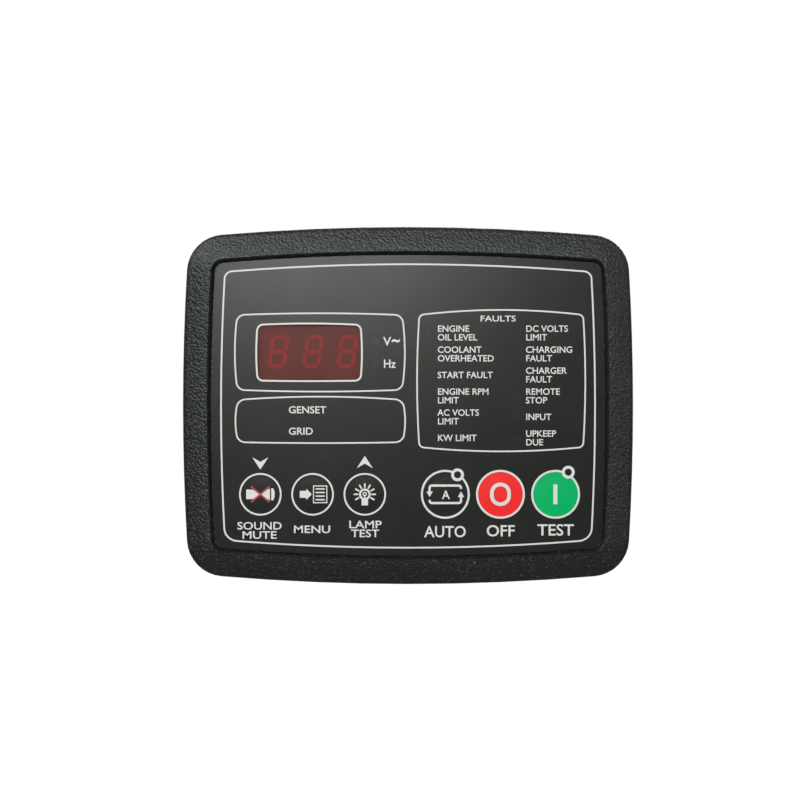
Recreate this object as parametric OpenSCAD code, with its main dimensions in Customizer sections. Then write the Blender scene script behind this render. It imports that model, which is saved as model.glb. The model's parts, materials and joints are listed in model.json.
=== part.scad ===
// Genset controller for a generator control panel.
// A moulded front frame carries a printed membrane face with six keys, a digit display and
// eighteen lamps. Two stacked boards and a rear case with plug-in terminals follow behind it.
// X points right, Y into the panel, Z up. The origin is the middle of the panel cut-out, on the
// plane where the gasket meets the panel. All sizes are in millimetres.

/* [Front frame] */
// Width of the front frame across its middle
frame_w = 155; // [152:0.5:162]
// Height of the front frame across its middle
frame_h = 123; // [120:0.5:130]
// Radius of the bow of the left and right edges
side_bow_r = 800; // [600:25:1500]
// Radius of the bow of the top and bottom edges
top_bow_r = 770; // [600:25:1500]
// Radius of the four outer corners
corner_r = 13; // [12:0.25:15]
// Width of the raised border, from the outer edge to the recess floor
border_w = 9.7; // [9:0.1:10.5]
// Width of the slope from the lip of the border down to the recess
lip_slope_w = 0.7; // [0.5:0.1:1.5]
// Rounding of the lip of the border
lip_r = 0.5; // [0.3:0.05:0.7]
// Distance from the panel to the crown of the border
crown_h = 9; // [8.5:0.1:10.5]
// Rise of the border face from its outer edge to its crown
border_rise = 1.8; // [1:0.1:2.4]
// Bulge of the border face, as a share of its rise
border_bulge = 0.35; // [0:0.05:0.6]
// Rounding of the outer edge of the border
edge_r = 1.7; // [1.2:0.1:2.2]
// Depth of the recess below the crown
recess_d = 2.5; // [2:0.1:3]
// Thickness of the front plate behind the recess
plate_t = 2.5; // [2.2:0.1:3]
// Wall left outside the gasket channel
flange_wall = 2.4; // [2:0.1:3]
// Gap between the back edge of the frame and the panel
flange_gap = 1; // [0.6:0.1:1.4]

/* [Panel cut-out] */
// Cover of the frame over the panel, left and right of the cut-out
cover_x = 7.5; // [7:0.25:8.5]
// Cover of the frame over the panel, above and below the cut-out
cover_z = 11.5; // [10.5:0.25:12.5]
// Clearance of the housing in the cut-out, each side
cutout_gap = 1; // [0.6:0.1:1.4]
// Corner radius of the housing
case_r = 3; // [2.7:0.1:4]
// Radius of the inner corners of the housing
inner_r = 1; // [0.5:0.1:2]
// Wall thickness of the skirt and the rear case
case_wall = 2.5; // [2:0.1:3]
// Thickness of the panel that the clamps hold
panel_t = 2.5; // [2.2:0.1:6]
// Thickness of the gasket when clamped
gasket_t = 3; // [2:0.1:3.4]
// Gap between the gasket and the sides of its channel
gasket_gap = 0.3; // [0.1:0.05:0.5]

/* [Membrane face] */
// Thickness of the membrane face
face_t = 0.5; // [0.3:0.05:0.7]
// Gap between the membrane face and the slope of the border
face_gap = 0.2; // [0.1:0.05:0.4]
// Height of the pressed pillow over each key
pillow_h = 0.12; // [0.1:0.01:0.2]
// Radius of the foot of the pillow
pillow_r = 6; // [5.6:0.1:6.3]

/* [Keys] */
// Distance of the row of keys from the bottom of the frame
key_row_inset = 31; // [29.5:0.5:32]
// Distance of the middle small key from the left of the frame
small_key_inset = 44.7; // [43.5:0.1:45.5]
// Pitch of the three small keys
small_key_pitch = 17.95; // [17:0.05:19]
// Distance of the middle large key from the right of the frame
large_key_inset = 45.75; // [44.5:0.25:47]
// Pitch of the three large keys
large_key_pitch = 18.95; // [18:0.05:20]
// Radius of the key head under the membrane
key_head_r = 4.8; // [4:0.1:5]
// Thickness of the key head
key_head_t = 1.3; // [1:0.05:1.5]
// Rise of the key head into the pillow
key_proud = 0.02; // [0.01:0.01:0.03]
// Radius of the key stem
key_stem_r = 2; // [1.8:0.05:2.4]
// Running clearance of the key stem in its guide
key_fit = 0.08; // [0.04:0.01:0.1]
// Clearance around the key head
key_head_gap = 0.3; // [0.2:0.05:0.4]
// Travel of a key
key_travel = 0.3; // [0.2:0.05:0.4]
// Gap left under a pressed key head
key_stop_gap = 0.05; // [0.03:0.01:0.1]
// Wall of the key guide collar
collar_wall = 1.4; // [1:0.1:1.6]
// Length of the key guide collar behind the front plate
collar_l = 1.6; // [1:0.1:2]
// Width of a tact switch
switch_w = 6; // [5:0.1:6.2]
// Height of a tact switch body
switch_h = 3.5; // [3:0.1:3.8]
// Radius of the tact switch button
button_r = 1.75; // [1.5:0.05:1.8]
// Height of the tact switch button above its body
button_h = 1; // [0.8:0.1:1.3]
// Depth of the tact switch button inside its body
button_depth = 1; // [0.8:0.1:1.4]

/* [Digit display] */
// Distance of the middle of the display window from the left of the frame
window_inset_x = 43.6; // [42.5:0.1:44.5]
// Distance of the middle of the display window from the top of the frame
window_inset_z = 43.2; // [42.5:0.1:44.5]
// Width of the display window
window_w = 35.8; // [35.2:0.1:37]
// Height of the display window
window_h = 18.9; // [18:0.1:20]
// Corner radius of the display window
window_r = 1.4; // [1:0.1:2]
// Thickness of the lip that holds the window
window_lip_t = 1; // [0.8:0.05:1.2]
// Width of the lip around the window
window_lip_w = 1; // [0.6:0.1:1.4]
// Fitting clearance around the window
window_gap = 0.1; // [0.05:0.01:0.15]
// Clearance around the digit module
module_gap = 0.35; // [0.2:0.05:0.5]
// Gap between the window and the digit module
module_front_gap = 0.2; // [0.1:0.05:0.4]
// Number of digits
digits = 3; // [2:1:3]
// Height of a digit
digit_h = 11.5; // [10:0.1:12.5]
// Width of a digit
digit_w = 6.3; // [5:0.1:7]
// Pitch of the digits
digit_pitch = 11.85; // [10.5:0.05:12]
// Shift of the digits from the middle of the window, across
digit_shift_x = 1.1; // [0.4:0.1:1.2]
// Shift of the digits from the middle of the window, up
digit_shift_z = 0.3; // [-0.5:0.1:0.5]
// Width of a segment
segment_w = 1.4; // [1:0.05:1.6]
// Gap between the ends of two segments
segment_gap = 0.25; // [0.15:0.05:0.3]
// Depth of a segment in the module
segment_d = 0.5; // [0.3:0.05:0.8]
// Slant of the digits in degrees
digit_slant = 8; // [0:1:10]

/* [Lamps] */
// Radius of a lamp
lamp_r = 1.5; // [1.2:0.05:1.6]
// Height of a lamp from its foot to its tip
lamp_h = 5.3; // [5:0.1:6]
// Radius of the foot of a lamp
lamp_foot_r = 1.9; // [1.75:0.05:2]
// Thickness of the foot of a lamp
lamp_foot_t = 1; // [0.8:0.1:1.2]
// Clearance of a lamp in the front plate
lamp_gap = 0.1; // [0.05:0.01:0.2]
// Depth of a lamp tip below the front plate
lamp_recess = 1; // [0.5:0.1:1.5]
// Radius of the spacer under a lamp
lamp_spacer_r = 2.2; // [2:0.1:2.5]
// Distance of the left column of fault lamps from the middle of the frame
fault_lamp_x = 6.9; // [6:0.1:8]
// Distance of the right column of fault lamps from the right of the frame
fault_lamp_inset_x = 39.9; // [38:0.1:41]
// Distance of the top row of fault lamps from the top of the frame
fault_lamp_inset_z = 36.5; // [35.5:0.1:37.5]
// Pitch of the rows of fault lamps
fault_lamp_pitch = 7.22; // [7:0.02:7.4]
// Rows of fault lamps
fault_lamp_rows = 6; // [4:1:6]
// Distance of the unit lamps from the side of the window
unit_lamp_gap = 4.9; // [4.4:0.1:6]
// Rise of the upper unit lamp over the middle of the window
unit_lamp_rise = 3.8; // [3:0.1:4.5]
// Spacing of the two unit lamps
unit_lamp_dz = 7.8; // [7:0.1:9]
// Distance of the supply lamps from the middle of the window, to the left
supply_lamp_left = 10.2; // [8:0.1:12]
// Distance of the upper supply lamp below the middle of the window
supply_lamp_drop = 19.75; // [18.5:0.05:20.5]
// Spacing of the two supply lamps
supply_lamp_dz = 7.35; // [6.5:0.05:8]
// Shift of a mode lamp from its key, across
mode_lamp_dx = 4.35; // [4:0.05:5]
// Shift of a mode lamp from its key, up
mode_lamp_dz = 7.15; // [7:0.05:8]

/* [Boards] */
// Thickness of a circuit board
board_t = 1.6; // [1.2:0.1:1.8]
// Length of the posts from the front plate to the display board
post_l = 7; // [6.8:0.1:7.6]
// Radius of a screw post
post_r = 3.4; // [3:0.1:3.4]
// Inset of the screw posts from the board edges
post_inset = 3.5; // [3.4:0.1:3.7]
// Radius of a plain rest post
rest_r = 2; // [1.5:0.1:2.5]
// Distance between the two boards
board_space = 7.4; // [7:0.1:8.5]
// Clearance of the boards inside the joint of the case
board_gap = 0.8; // [0.4:0.1:1.1]
// Gap behind the display board to the joint of the case
seam_gap = 1.4; // [1.3:0.1:2]
// Corner radius of the boards
board_r = 1.5; // [1:0.1:3]
// Middle of the link between the boards, across
link_x = -18; // [-22:0.5:-14]
// Middle of the link between the boards, up
link_z = 26; // [24:0.5:28]
// Pins in a row of the link between the boards
link_pins_n = 10; // [6:1:12]
// Pitch of the link pins
link_pitch = 2.54; // [2.5:0.01:2.54]
// Width of a link pin
link_pin_w = 0.64; // [0.5:0.02:0.7]
// Clearance around a link pin
link_pin_gap = 0.08; // [0.05:0.01:0.15]
// Height of the base of the link header
link_base_h = 2.5; // [2:0.1:3]
// Length of a link pin inside its socket
link_pin_l = 3.6; // [3:0.1:3.8]
// Place of the processor, across
control_chip_x = 10; // [4:0.5:14]
// Width of the processor
control_chip_w = 14; // [10:0.5:16]
// Height of the processor
control_chip_h = 1.5; // [1:0.1:2]
// Place of the crystal, across
crystal_x = 26; // [24.5:0.5:30]
// Width of the crystal can
crystal_w = 11; // [9:0.1:12]
// Depth of the crystal can
crystal_d = 4.5; // [3.5:0.1:5]
// Height of the crystal can
crystal_h = 3.5; // [2.5:0.1:4]
// Corner radius of the crystal can
crystal_r = 2; // [1.2:0.1:2.2]

/* [Case screws] */
// Radius of a case screw
screw_r = 1.45; // [1.3:0.05:1.5]
// Width of the slot in a screw head
slot_w = 0.8; // [0.6:0.1:1]
// Depth of the slot in a screw head
slot_d = 1; // [0.8:0.1:1.3]
// Radius of a case screw head
screw_head_r = 2.75; // [2.5:0.05:2.8]
// Height of a case screw head
screw_head_h = 2.1; // [1.8:0.1:2.3]
// Clearance of a case screw in its thread
screw_fit = 0.05; // [0.02:0.01:0.08]
// Clearance of a case screw in a plain hole
screw_gap = 0.2; // [0.1:0.05:0.3]
// Clearance around a case screw head
screw_head_gap = 0.25; // [0.1:0.05:0.3]
// Depth of a case screw head below the ledge
screw_sink = 3; // [2.8:0.1:3.4]
// Length of the case screw thread in its post
screw_bite = 5; // [4:0.1:5.5]

/* [Rear case] */
// Depth of the case behind the panel
case_depth = 39; // [38:0.5:46]
// Distance from the rear board to the terminal ledge
ledge_h = 10.4; // [10:0.1:11]
// Height of each terminal ledge beside the hump
ledge_w = 22; // [21.5:0.25:23]
// Bevel of the rear edges
case_bevel = 1; // [0.5:0.1:1.5]
// Height of the tongue that enters the skirt
tongue_h = 1; // [0.8:0.1:1.2]
// Thickness of the tongue
tongue_t = 1.5; // [1.2:0.1:1.8]
// Clearance of the tongue in the skirt
tongue_gap = 0.2; // [0.1:0.05:0.3]
// Length of the root of the tongue inside the case
tongue_root = 3; // [2:0.1:4]
// Number of vent slots on each side
vent_n = 7; // [3:1:7]
// Width of a vent slot
vent_w = 1.8; // [1.2:0.1:2.2]
// Distance of the vent slots from the ends of the hump
vent_inset = 6; // [5:0.25:8]
// Length of a vent slot
vent_l = 8; // [6:0.1:9]

/* [Terminals] */
// Poles of each upper terminal block
upper_poles = [8, 6, 5]; // [2:1:8]
// Poles of each lower terminal block
lower_poles = [10, 10]; // [2:1:10]
// Gap between the ends of the upper row of headers and the screw posts
row_gap = 1.79; // [1.4:0.01:2.6]
// Gap between two terminal blocks
block_gap = 3; // [2.6:0.1:3.4]
// Distance of the terminal rows from the top and bottom of the case
terminal_inset = 11.5; // [10.5:0.1:12]
// Wall of a terminal header
header_wall = 1.2; // [1:0.05:1.3]
// Floor of a terminal header
header_floor = 2; // [1.6:0.1:2.4]
// Rise of a header above its ledge
header_proud = 1; // [0.6:0.1:1.6]
// Clearance of a header in the ledge
header_gap = 0.3; // [0.2:0.05:0.4]
// Clearance of a plug in its header
plug_gap = 0.15; // [0.1:0.01:0.2]
// Gap under the nose of a plug
plug_nose_gap = 1.2; // [0.8:0.1:1.6]
// Thickness of the nose of a plug
plug_nose_t = 7.3; // [6.8:0.1:7.6]
// Length of a plug outside its header
plug_l = 11.5; // [11:0.1:13]
// Thickness of a plug on its wire side
plug_wire_t = 4.6; // [4.2:0.1:5]
// Thickness of a plug on its screw side
plug_screw_t = 6; // [5.6:0.1:6.4]
// Length of the slope at the back of a plug
plug_slope_l = 3.5; // [2:0.1:4]
// Rise of the slope at the back of a plug
plug_slope_h = 2.2; // [1:0.1:2.6]
// Width of a wire entry
wire_w = 3; // [2.6:0.1:3.2]
// Height of a wire entry
wire_h = 3.4; // [3:0.1:3.6]
// Depth of a wire entry up to the clamp
wire_d = 5; // [4.4:0.1:5.5]
// Length of a wire clamp
clamp_l = 4; // [3.6:0.1:4.4]
// Wall of a wire clamp
clamp_wall = 0.45; // [0.3:0.05:0.5]
// Clearance around a wire clamp
clamp_gap = 0.1; // [0.05:0.01:0.15]
// Radius of a terminal screw
terminal_screw_r = 1.6; // [1.4:0.05:1.7]
// Clearance around a terminal screw
terminal_screw_gap = 0.1; // [0.05:0.01:0.15]
// Depth of a terminal screw below the plug
terminal_screw_sink = 0.8; // [0.4:0.1:1.2]
// Width of the slot in a terminal screw
terminal_slot_w = 0.5; // [0.3:0.05:0.7]
// Depth of the slot in a terminal screw
terminal_slot_d = 0.7; // [0.5:0.05:1]
// Shift of the wire entries towards the wire side
wire_shift = 1.3; // [1.1:0.05:1.5]
// Width of a header pin
pin_w = 1; // [0.8:0.05:1.1]
// Clearance around a header pin
pin_gap = 0.1; // [0.05:0.01:0.15]
// Length of a header pin inside its header
pin_l = 7; // [6:0.1:7.5]

/* [Clamp brackets] */
// Thickness of the bracket strip
strip_t = 1.5; // [1.2:0.1:1.8]
// Width of the bracket strip
strip_w = 14; // [12:0.5:16]
// Distance of the bracket foot from the panel
foot_h = 10.5; // [9:0.1:11.5]
// Distance of the bracket tongue behind the foot
hook_rise = 6; // [5:0.1:7]
// Length of the bracket hook inside the case
hook_l = 3; // [2:0.1:3.5]
// Clearance of the bracket to the case
strip_gap = 0.2; // [0.1:0.05:0.3]
// Distance of the clamp screw from the case side
clamp_screw_x = 4.9; // [4.6:0.05:4.9]
// Inset of the bracket foot from the outer edge of the frame
foot_inset = 0.5; // [0.3:0.1:1]
// Radius of a clamp screw
clamp_screw_r = 1.95; // [1.5:0.05:2]
// Clearance of a clamp screw in its thread
clamp_screw_fit = 0.05; // [0.02:0.01:0.08]
// Length of a clamp screw
clamp_screw_l = 20; // [16:0.5:22]
// Radius of a clamp screw head
clamp_head_r = 3.5; // [3:0.05:3.5]
// Height of a clamp screw head
clamp_head_h = 2.6; // [2.2:0.1:3]

/* [Rear board parts] */
// Distance of the first relay from the left of the board
relay_inset = 12; // [10.5:0.5:14]
// Number of relays
relay_n = 4; // [2:1:4]
// Relay width across the board
relay_w = 15.5; // [14:0.1:16]
// Relay length up the board
relay_l = 19; // [17:0.1:20]
// Relay height above the board
relay_h = 15.3; // [12:0.1:17]
// Pitch of the relays
relay_pitch = 17.5; // [16.5:0.1:18]
// Gap between the tall parts and the walls of the hump
part_gap = 3; // [2:0.1:4]
// Corner radius of a relay
relay_r = 0.8; // [0.4:0.1:1.5]
// Distance of the last capacitor from the right of the board
capacitor_inset = 8; // [7:0.5:10]
// Depth of the crimp round a capacitor
capacitor_crimp = 0.4; // [0.2:0.05:0.6]
// Height of the crimp round a capacitor
capacitor_crimp_h = 2.6; // [2:0.1:3]
// Radius of a capacitor
capacitor_r = 5; // [4:0.1:5.4]
// Height of a capacitor
capacitor_h = 17; // [12:0.5:20]
// Pitch of the capacitors
capacitor_pitch = 12; // [11:0.1:13]
// Radius of a surge disc
surge_r = 4.5; // [3.5:0.1:5]
// Thickness of a surge disc
surge_t = 4; // [3:0.1:5]
// Pitch of the surge discs
surge_pitch = 9; // [8:0.1:10]
// Distance of the choke from the right of the board
choke_inset = 14; // [12:0.5:18]
// Outer radius of the choke
choke_r = 8; // [6:0.1:8.5]
// Radius of the winding of the choke
choke_coil_r = 3; // [2:0.1:3.4]
// Place of the first driver chip, across
driver_x = -6; // [-10:0.5:-4]
// Pitch of the driver chips
driver_pitch = 14; // [10:0.5:15]
// Width of a driver chip
driver_w = 7.5; // [5:0.1:8]
// Length of a driver chip
driver_l = 10; // [8:0.1:12]
// Height of a driver chip
driver_h = 2.4; // [1.5:0.1:3]

/* [Hidden] */
$fn = 48;

// Overlap that lets a cut run past the face it opens
cut = 0.5;

// Planes along Y, from the front to the back
floor_y = recess_d - crown_h;
plate_back_y = floor_y + plate_t;
board_y = plate_back_y + post_l;
board_back_y = board_y + board_t;
seam_y = board_back_y + seam_gap;
main_y = board_back_y + board_space;
main_back_y = main_y + board_t;
ledge_y = main_back_y + ledge_h;
screw_seat_y = ledge_y - screw_sink;

// Outlines of the cut-out, the skirt, the case and the boards
cutout_w = frame_w - 2 * cover_x;
cutout_h = frame_h - 2 * cover_z;
case_w = cutout_w - 2 * cutout_gap;
case_h = cutout_h - 2 * cutout_gap;
inner_w = case_w - 2 * case_wall;
inner_h = case_h - 2 * case_wall;
mouth_w = inner_w - 2 * (tongue_gap + tongue_t);
mouth_h = inner_h - 2 * (tongue_gap + tongue_t);
board_w = mouth_w - 2 * board_gap;
board_h = mouth_h - 2 * board_gap;
post_x = board_w / 2 - post_inset;
post_z = board_h / 2 - post_inset;
hump_h = case_h - 2 * ledge_w;
hump_half = hump_h / 2 - case_wall;

// Centre of each corner arc, at the same distance from both bowed edges
side_centre = [frame_w / 2 - side_bow_r, 0];
top_centre = [0, frame_h / 2 - top_bow_r];
corner_centre = arc_meet(side_centre, side_bow_r - corner_r, top_centre, top_bow_r - corner_r);
corner_start = direction(side_centre, corner_centre);
corner_end = direction(top_centre, corner_centre);
edge_steps = 4;
corner_steps = 8;

// Steps of the dome over a key
pillow_steps = 3;

// Border section from the recess floor over the lip, the crown and the outer edge to the back
edge_top = crown_h - border_rise;
lip_inset = border_w - lip_slope_w;
border_steps = 4;
border_profile = concat(
    [[border_w, floor_y]],
    [for (a = [15, 50, 90]) [lip_inset - lip_r * sin(a), lip_r * (1 - sin(a)) - crown_h]],
    [for (i = [border_steps - 1:-1:1]) let (t = i / border_steps, rise = t * (1 + border_bulge * (1 - t)))
        [edge_r + t * (lip_inset - lip_r - edge_r), -edge_top - border_rise * rise]],
    [for (a = [90, 65, 40, 20, 0]) [edge_r * (1 - cos(a)), -edge_top + edge_r * (1 - sin(a))]],
    [[0, -flange_gap]]
);

// Layout of the face, from the edges of the frame
key_row_z = key_row_inset - frame_h / 2;
small_key_x = small_key_inset - frame_w / 2;
large_key_x = frame_w / 2 - large_key_inset;
window_x = window_inset_x - frame_w / 2;
window_z = frame_h / 2 - window_inset_z;
key_xs = concat(
    [for (i = [-1:1]) small_key_x + i * small_key_pitch],
    [for (i = [-1:1]) large_key_x + i * large_key_pitch]
);
key_head_back_y = floor_y - key_proud + key_head_t;
key_stop_y = key_head_back_y + key_travel + key_stop_gap;
button_y = board_y - switch_h - button_h;

fault_lamp_places = [for (x = [fault_lamp_x, frame_w / 2 - fault_lamp_inset_x], r = [0:fault_lamp_rows - 1])
    [x, frame_h / 2 - fault_lamp_inset_z - r * fault_lamp_pitch]];
unit_lamp_places = [for (i = [0, 1])
    [window_x + window_w / 2 + unit_lamp_gap, window_z + unit_lamp_rise - i * unit_lamp_dz]];
supply_lamp_places = [for (i = [0, 1])
    [window_x - supply_lamp_left, window_z - supply_lamp_drop - i * supply_lamp_dz]];
mode_lamp_places = [for (i = [3, 5]) [key_xs[i] + mode_lamp_dx, key_row_z + mode_lamp_dz]];
lamp_places = concat(fault_lamp_places, unit_lamp_places, supply_lamp_places, mode_lamp_places);
lamp_foot_y = floor_y + lamp_recess + lamp_h;

module_front_y = floor_y + window_lip_t + module_front_gap;
digit_xs = [for (i = [0:digits - 1]) window_x + digit_shift_x + (i - (digits - 1) / 2) * digit_pitch];
module_w = window_w - 2 * module_gap;
module_h = window_h - 2 * module_gap;
rest_places = [[(key_xs[2] + key_xs[3]) / 2, key_row_z], [(key_xs[2] + key_xs[3]) / 2, post_z]];

link_places = [for (i = [0:link_pins_n - 1], j = [0, 1])
    [link_x + (i - (link_pins_n - 1) / 2) * link_pitch, link_z + (j - 0.5) * link_pitch]];
link_w = link_pins_n * link_pitch;
link_h = 2 * link_pitch;
link_seat_y = main_y - link_base_h;

nose_half = plug_nose_t / 2;
header_half = nose_half + plug_gap + header_wall;
header_back_y = ledge_y + header_proud;
header_floor_y = main_back_y + header_floor;
nose_y = header_floor_y + plug_nose_gap;
plug_back_y = header_back_y + plug_l;
clamp_back_y = plug_back_y - wire_d;
clamp_y = clamp_back_y - clamp_l / 2;
wire_z = -wire_shift;
clamp_w = wire_w + 2 * clamp_wall;
clamp_h = wire_h + 2 * clamp_wall;
clamp_top_z = wire_z + clamp_h / 2;

// Rear board parts: relays and capacitors low, small parts high, all inside the hump
relay_x = relay_inset - board_w / 2;
relay_z = part_gap + relay_l / 2 - hump_half;
small_parts_z = hump_half - part_gap - surge_r;
choke_x = board_w / 2 - choke_inset;

// Middle of the vents between the ledge and the back of the hump
vent_y = (ledge_y + case_depth - case_wall - vent_l) / 2;
vent_pitch = (hump_h - 2 * vent_inset) / vent_n;

// Terminal blocks of each row and all their poles, which fill the upper row between the posts
terminal_z = case_h / 2 - terminal_inset;
block_ends = 2 * (plug_gap + header_wall);
row_space = 2 * (post_x - post_r - row_gap);
upper_ends = len(upper_poles) * block_ends + (len(upper_poles) - 1) * block_gap;
pole_pitch = (row_space - upper_ends) / sum(upper_poles);
upper_blocks = blocks(upper_poles);
lower_blocks = blocks(lower_poles);
all_poles = concat(pole_places(upper_blocks, 1), pole_places(lower_blocks, -1));

// Side view of a plug: nose, shoulder, wire face and sloped screw face
plug_profile = [
    [nose_y, -nose_half], [header_back_y, -nose_half], [header_back_y, -plug_wire_t],
    [plug_back_y, -plug_wire_t], [plug_back_y, plug_screw_t - plug_slope_h],
    [plug_back_y - plug_slope_l, plug_screw_t], [header_back_y, plug_screw_t],
    [header_back_y, nose_half], [nose_y, nose_half]
];

// Section of a bracket: hook, tongue through the wall, leg along the case and foot
foot_y = panel_t + foot_h;
tongue_y = foot_y + hook_rise;
hook_x = inner_w / 2 - strip_gap - strip_t;
leg_x = case_w / 2 + strip_gap;
foot_end_x = frame_w / 2 - foot_inset;
bracket_profile = [
    [hook_x, tongue_y + strip_t], [hook_x, tongue_y - hook_l], [hook_x + strip_t, tongue_y - hook_l],
    [hook_x + strip_t, tongue_y], [leg_x, tongue_y], [leg_x, foot_y], [foot_end_x, foot_y],
    [foot_end_x, foot_y + strip_t], [leg_x + strip_t, foot_y + strip_t],
    [leg_x + strip_t, tongue_y + strip_t]
];
clamp_axis_x = case_w / 2 + clamp_screw_x;

// Meeting point of two circles, on the upper right
function arc_meet(c1, r1, c2, r2) =
    let (d = norm(c2 - c1), a = (d * d + r1 * r1 - r2 * r2) / (2 * d))
    let (h = sqrt(r1 * r1 - a * a), u = (c2 - c1) / d)
    c1 + a * u + h * [-u[1], u[0]];

// Direction from one point to another in degrees
function direction(from, to) = atan2(to[1] - from[1], to[0] - from[0]);

// Sum of a list of numbers
function sum(v, i = 0) = i < len(v) ? v[i] + sum(v, i + 1) : 0;

// Point at a distance and a direction from a centre
function polar(centre, r, a) = centre + r * [cos(a), sin(a)];

// First quarter of the bowed outline, moved inwards by an inset
function frame_quarter(inset) = concat(
    [for (i = [0:edge_steps - 1]) polar(side_centre, side_bow_r - inset, corner_start * i / edge_steps)],
    [for (i = [0:corner_steps]) polar(corner_centre, corner_r - inset,
        corner_start + (corner_end - corner_start) * i / corner_steps)],
    [for (i = [1:edge_steps]) polar(top_centre, top_bow_r - inset,
        corner_end + (90 - corner_end) * i / edge_steps)]
);

// Whole bowed outline, mirrored from its first quarter
function frame_ring(inset) = let (q = frame_quarter(inset), n = len(q)) concat(
    q,
    [for (i = [n - 2:-1:0]) [-q[i][0], q[i][1]]],
    [for (i = [1:n - 1]) [-q[i][0], -q[i][1]]],
    [for (i = [n - 2:-1:1]) [q[i][0], -q[i][1]]]
);

// Rectangle with round corners
function round_rect(w, h, r, steps = 5) = [for (q = [0:3], i = [0:steps])
    let (a = 90 * (q + i / steps), sx = q == 0 || q == 3 ? 1 : -1, sz = q < 2 ? 1 : -1)
    [sx * (w / 2 - r) + r * cos(a), sz * (h / 2 - r) + r * sin(a)]];

// Solid through closed rings of the same length, given from the front to the back
module loft(rings, planes) {
    n = len(rings[0]);
    last = len(rings) - 1;
    points = [for (k = [0:last], p = rings[k]) [p[0], planes[k], p[1]]];
    sides = [for (k = [0:last - 1], i = [0:n - 1]) let (j = (i + 1) % n)
        [k * n + i, k * n + j, (k + 1) * n + j, (k + 1) * n + i]];
    front = [[for (i = [n - 1:-1:0]) i]];
    back = [[for (i = [0:n - 1]) last * n + i]];
    polyhedron(points = points, faces = concat(front, sides, back), convexity = 6);
}

// Flat shape in X and Z, extruded along Y between two planes
module between(y0, y1) {
    translate([0, y1, 0]) rotate([90, 0, 0]) linear_extrude(y1 - y0, convexity = 6) children();
}

// Round bar along Y between two planes
module rod(x, z, r, y0, y1) {
    translate([x, y0, z]) rotate([-90, 0, 0]) cylinder(r = r, h = y1 - y0);
}

// Block centred in X and Z between two planes along Y
module block(x, z, w, h, y0, y1) {
    translate([x - w / 2, y0, z - h / 2]) cube([w, y1 - y0, h]);
}

// Repeats a child at the four screw posts
module at_posts() {
    for (x = [-1, 1], z = [-1, 1]) translate([x * post_x, 0, z * post_z]) children();
}

// Moulded front: bowed border, recessed plate, skirt through the panel and posts for the board
module front_frame() color([0.17, 0.18, 0.19]) difference() {
    union() {
        difference() {
            union() {
                loft([for (p = border_profile) frame_ring(p[0])], [for (p = border_profile) p[1]]);
                between(plate_back_y, seam_y) polygon(round_rect(case_w, case_h, case_r));
            }
            between(plate_back_y, seam_y + cut) polygon(round_rect(inner_w, inner_h, inner_r));
        }
        at_posts() rod(0, 0, post_r, plate_back_y - cut, board_y);
        for (p = rest_places) rod(p[0], p[1], rest_r, plate_back_y - cut, board_y);
        for (x = key_xs) rod(x, key_row_z, key_stem_r + key_fit + collar_wall,
            plate_back_y - cut, plate_back_y + collar_l);
    }
    gasket_channel();
    at_posts() rod(0, 0, screw_r + screw_fit, board_y - screw_bite - cut, board_y + cut);
    for (x = key_xs) key_bore(x);
    for (p = lamp_places) rod(p[0], p[1], lamp_r + lamp_gap, floor_y - cut, plate_back_y + cut);
    translate([window_x, 0, window_z]) {
        between(floor_y - cut, plate_back_y + cut) polygon(round_rect(window_w, window_h, window_r));
        between(floor_y - cut, floor_y + window_lip_t)
            polygon(window_outline(window_lip_w + window_gap));
    }
}

// Window outline widened by a margin
function window_outline(m) = round_rect(window_w + 2 * m, window_h + 2 * m, window_r + max(m, 0));

// Channel for the gasket behind the border
module gasket_channel() between(-gasket_t, cut - flange_gap) difference() {
    polygon(frame_ring(flange_wall));
    polygon(round_rect(cutout_w, cutout_h, case_r));
}

// Bore for a key: a pocket for its head and a guide for its stem
module key_bore(x) {
    rod(x, key_row_z, key_head_r + key_head_gap, floor_y - cut, key_stop_y);
    rod(x, key_row_z, key_stem_r + key_fit, floor_y, plate_back_y + collar_l + cut);
}

// Printed membrane with a window and a pressed pillow over each key
module membrane_face() color([0.2, 0.21, 0.21]) {
    difference() {
        between(floor_y - face_t, floor_y) polygon(frame_ring(border_w + face_gap));
        for (x = key_xs) rod(x, key_row_z, pillow_r, floor_y - face_t - cut, floor_y + cut);
        translate([window_x, 0, window_z])
            between(floor_y - face_t - cut, floor_y + cut) polygon(window_outline(0));
    }
    for (x = key_xs) translate([x, floor_y, key_row_z]) rotate([90, 0, 0]) pillow();
}

// Pillow of the membrane over a key: a thin shell in the shape of a low dome
module pillow() {
    radii = [for (i = [0:pillow_steps]) pillow_r * i / pillow_steps];
    rotate_extrude() polygon(concat(
        [for (i = [0:pillow_steps]) [radii[i], dome(radii[i])]],
        [for (i = [pillow_steps:-1:0]) [radii[i], dome(radii[i]) + face_t]]
    ));
}

// Rise of the dome at a distance from its axis
function dome(r) = let (ball_r = (pillow_r * pillow_r + pillow_h * pillow_h) / (2 * pillow_h))
    sqrt(ball_r * ball_r - r * r) - ball_r + pillow_h;

// Red filter in front of the digits, held by its lip behind the membrane
module display_window() color([0.45, 0.1, 0.08]) translate([window_x, 0, window_z]) {
    between(floor_y, floor_y + window_lip_t) polygon(window_outline(window_lip_w));
    between(floor_y - face_t + window_gap, floor_y + cut) polygon(window_outline(-window_gap));
}

// Soft gasket between the frame and the panel
module panel_gasket() color([0.08, 0.08, 0.08]) between(-gasket_t, 0) difference() {
    polygon(frame_ring(flange_wall + gasket_gap));
    polygon(round_rect(cutout_w + 2 * gasket_gap, cutout_h + 2 * gasket_gap, case_r));
}

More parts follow.
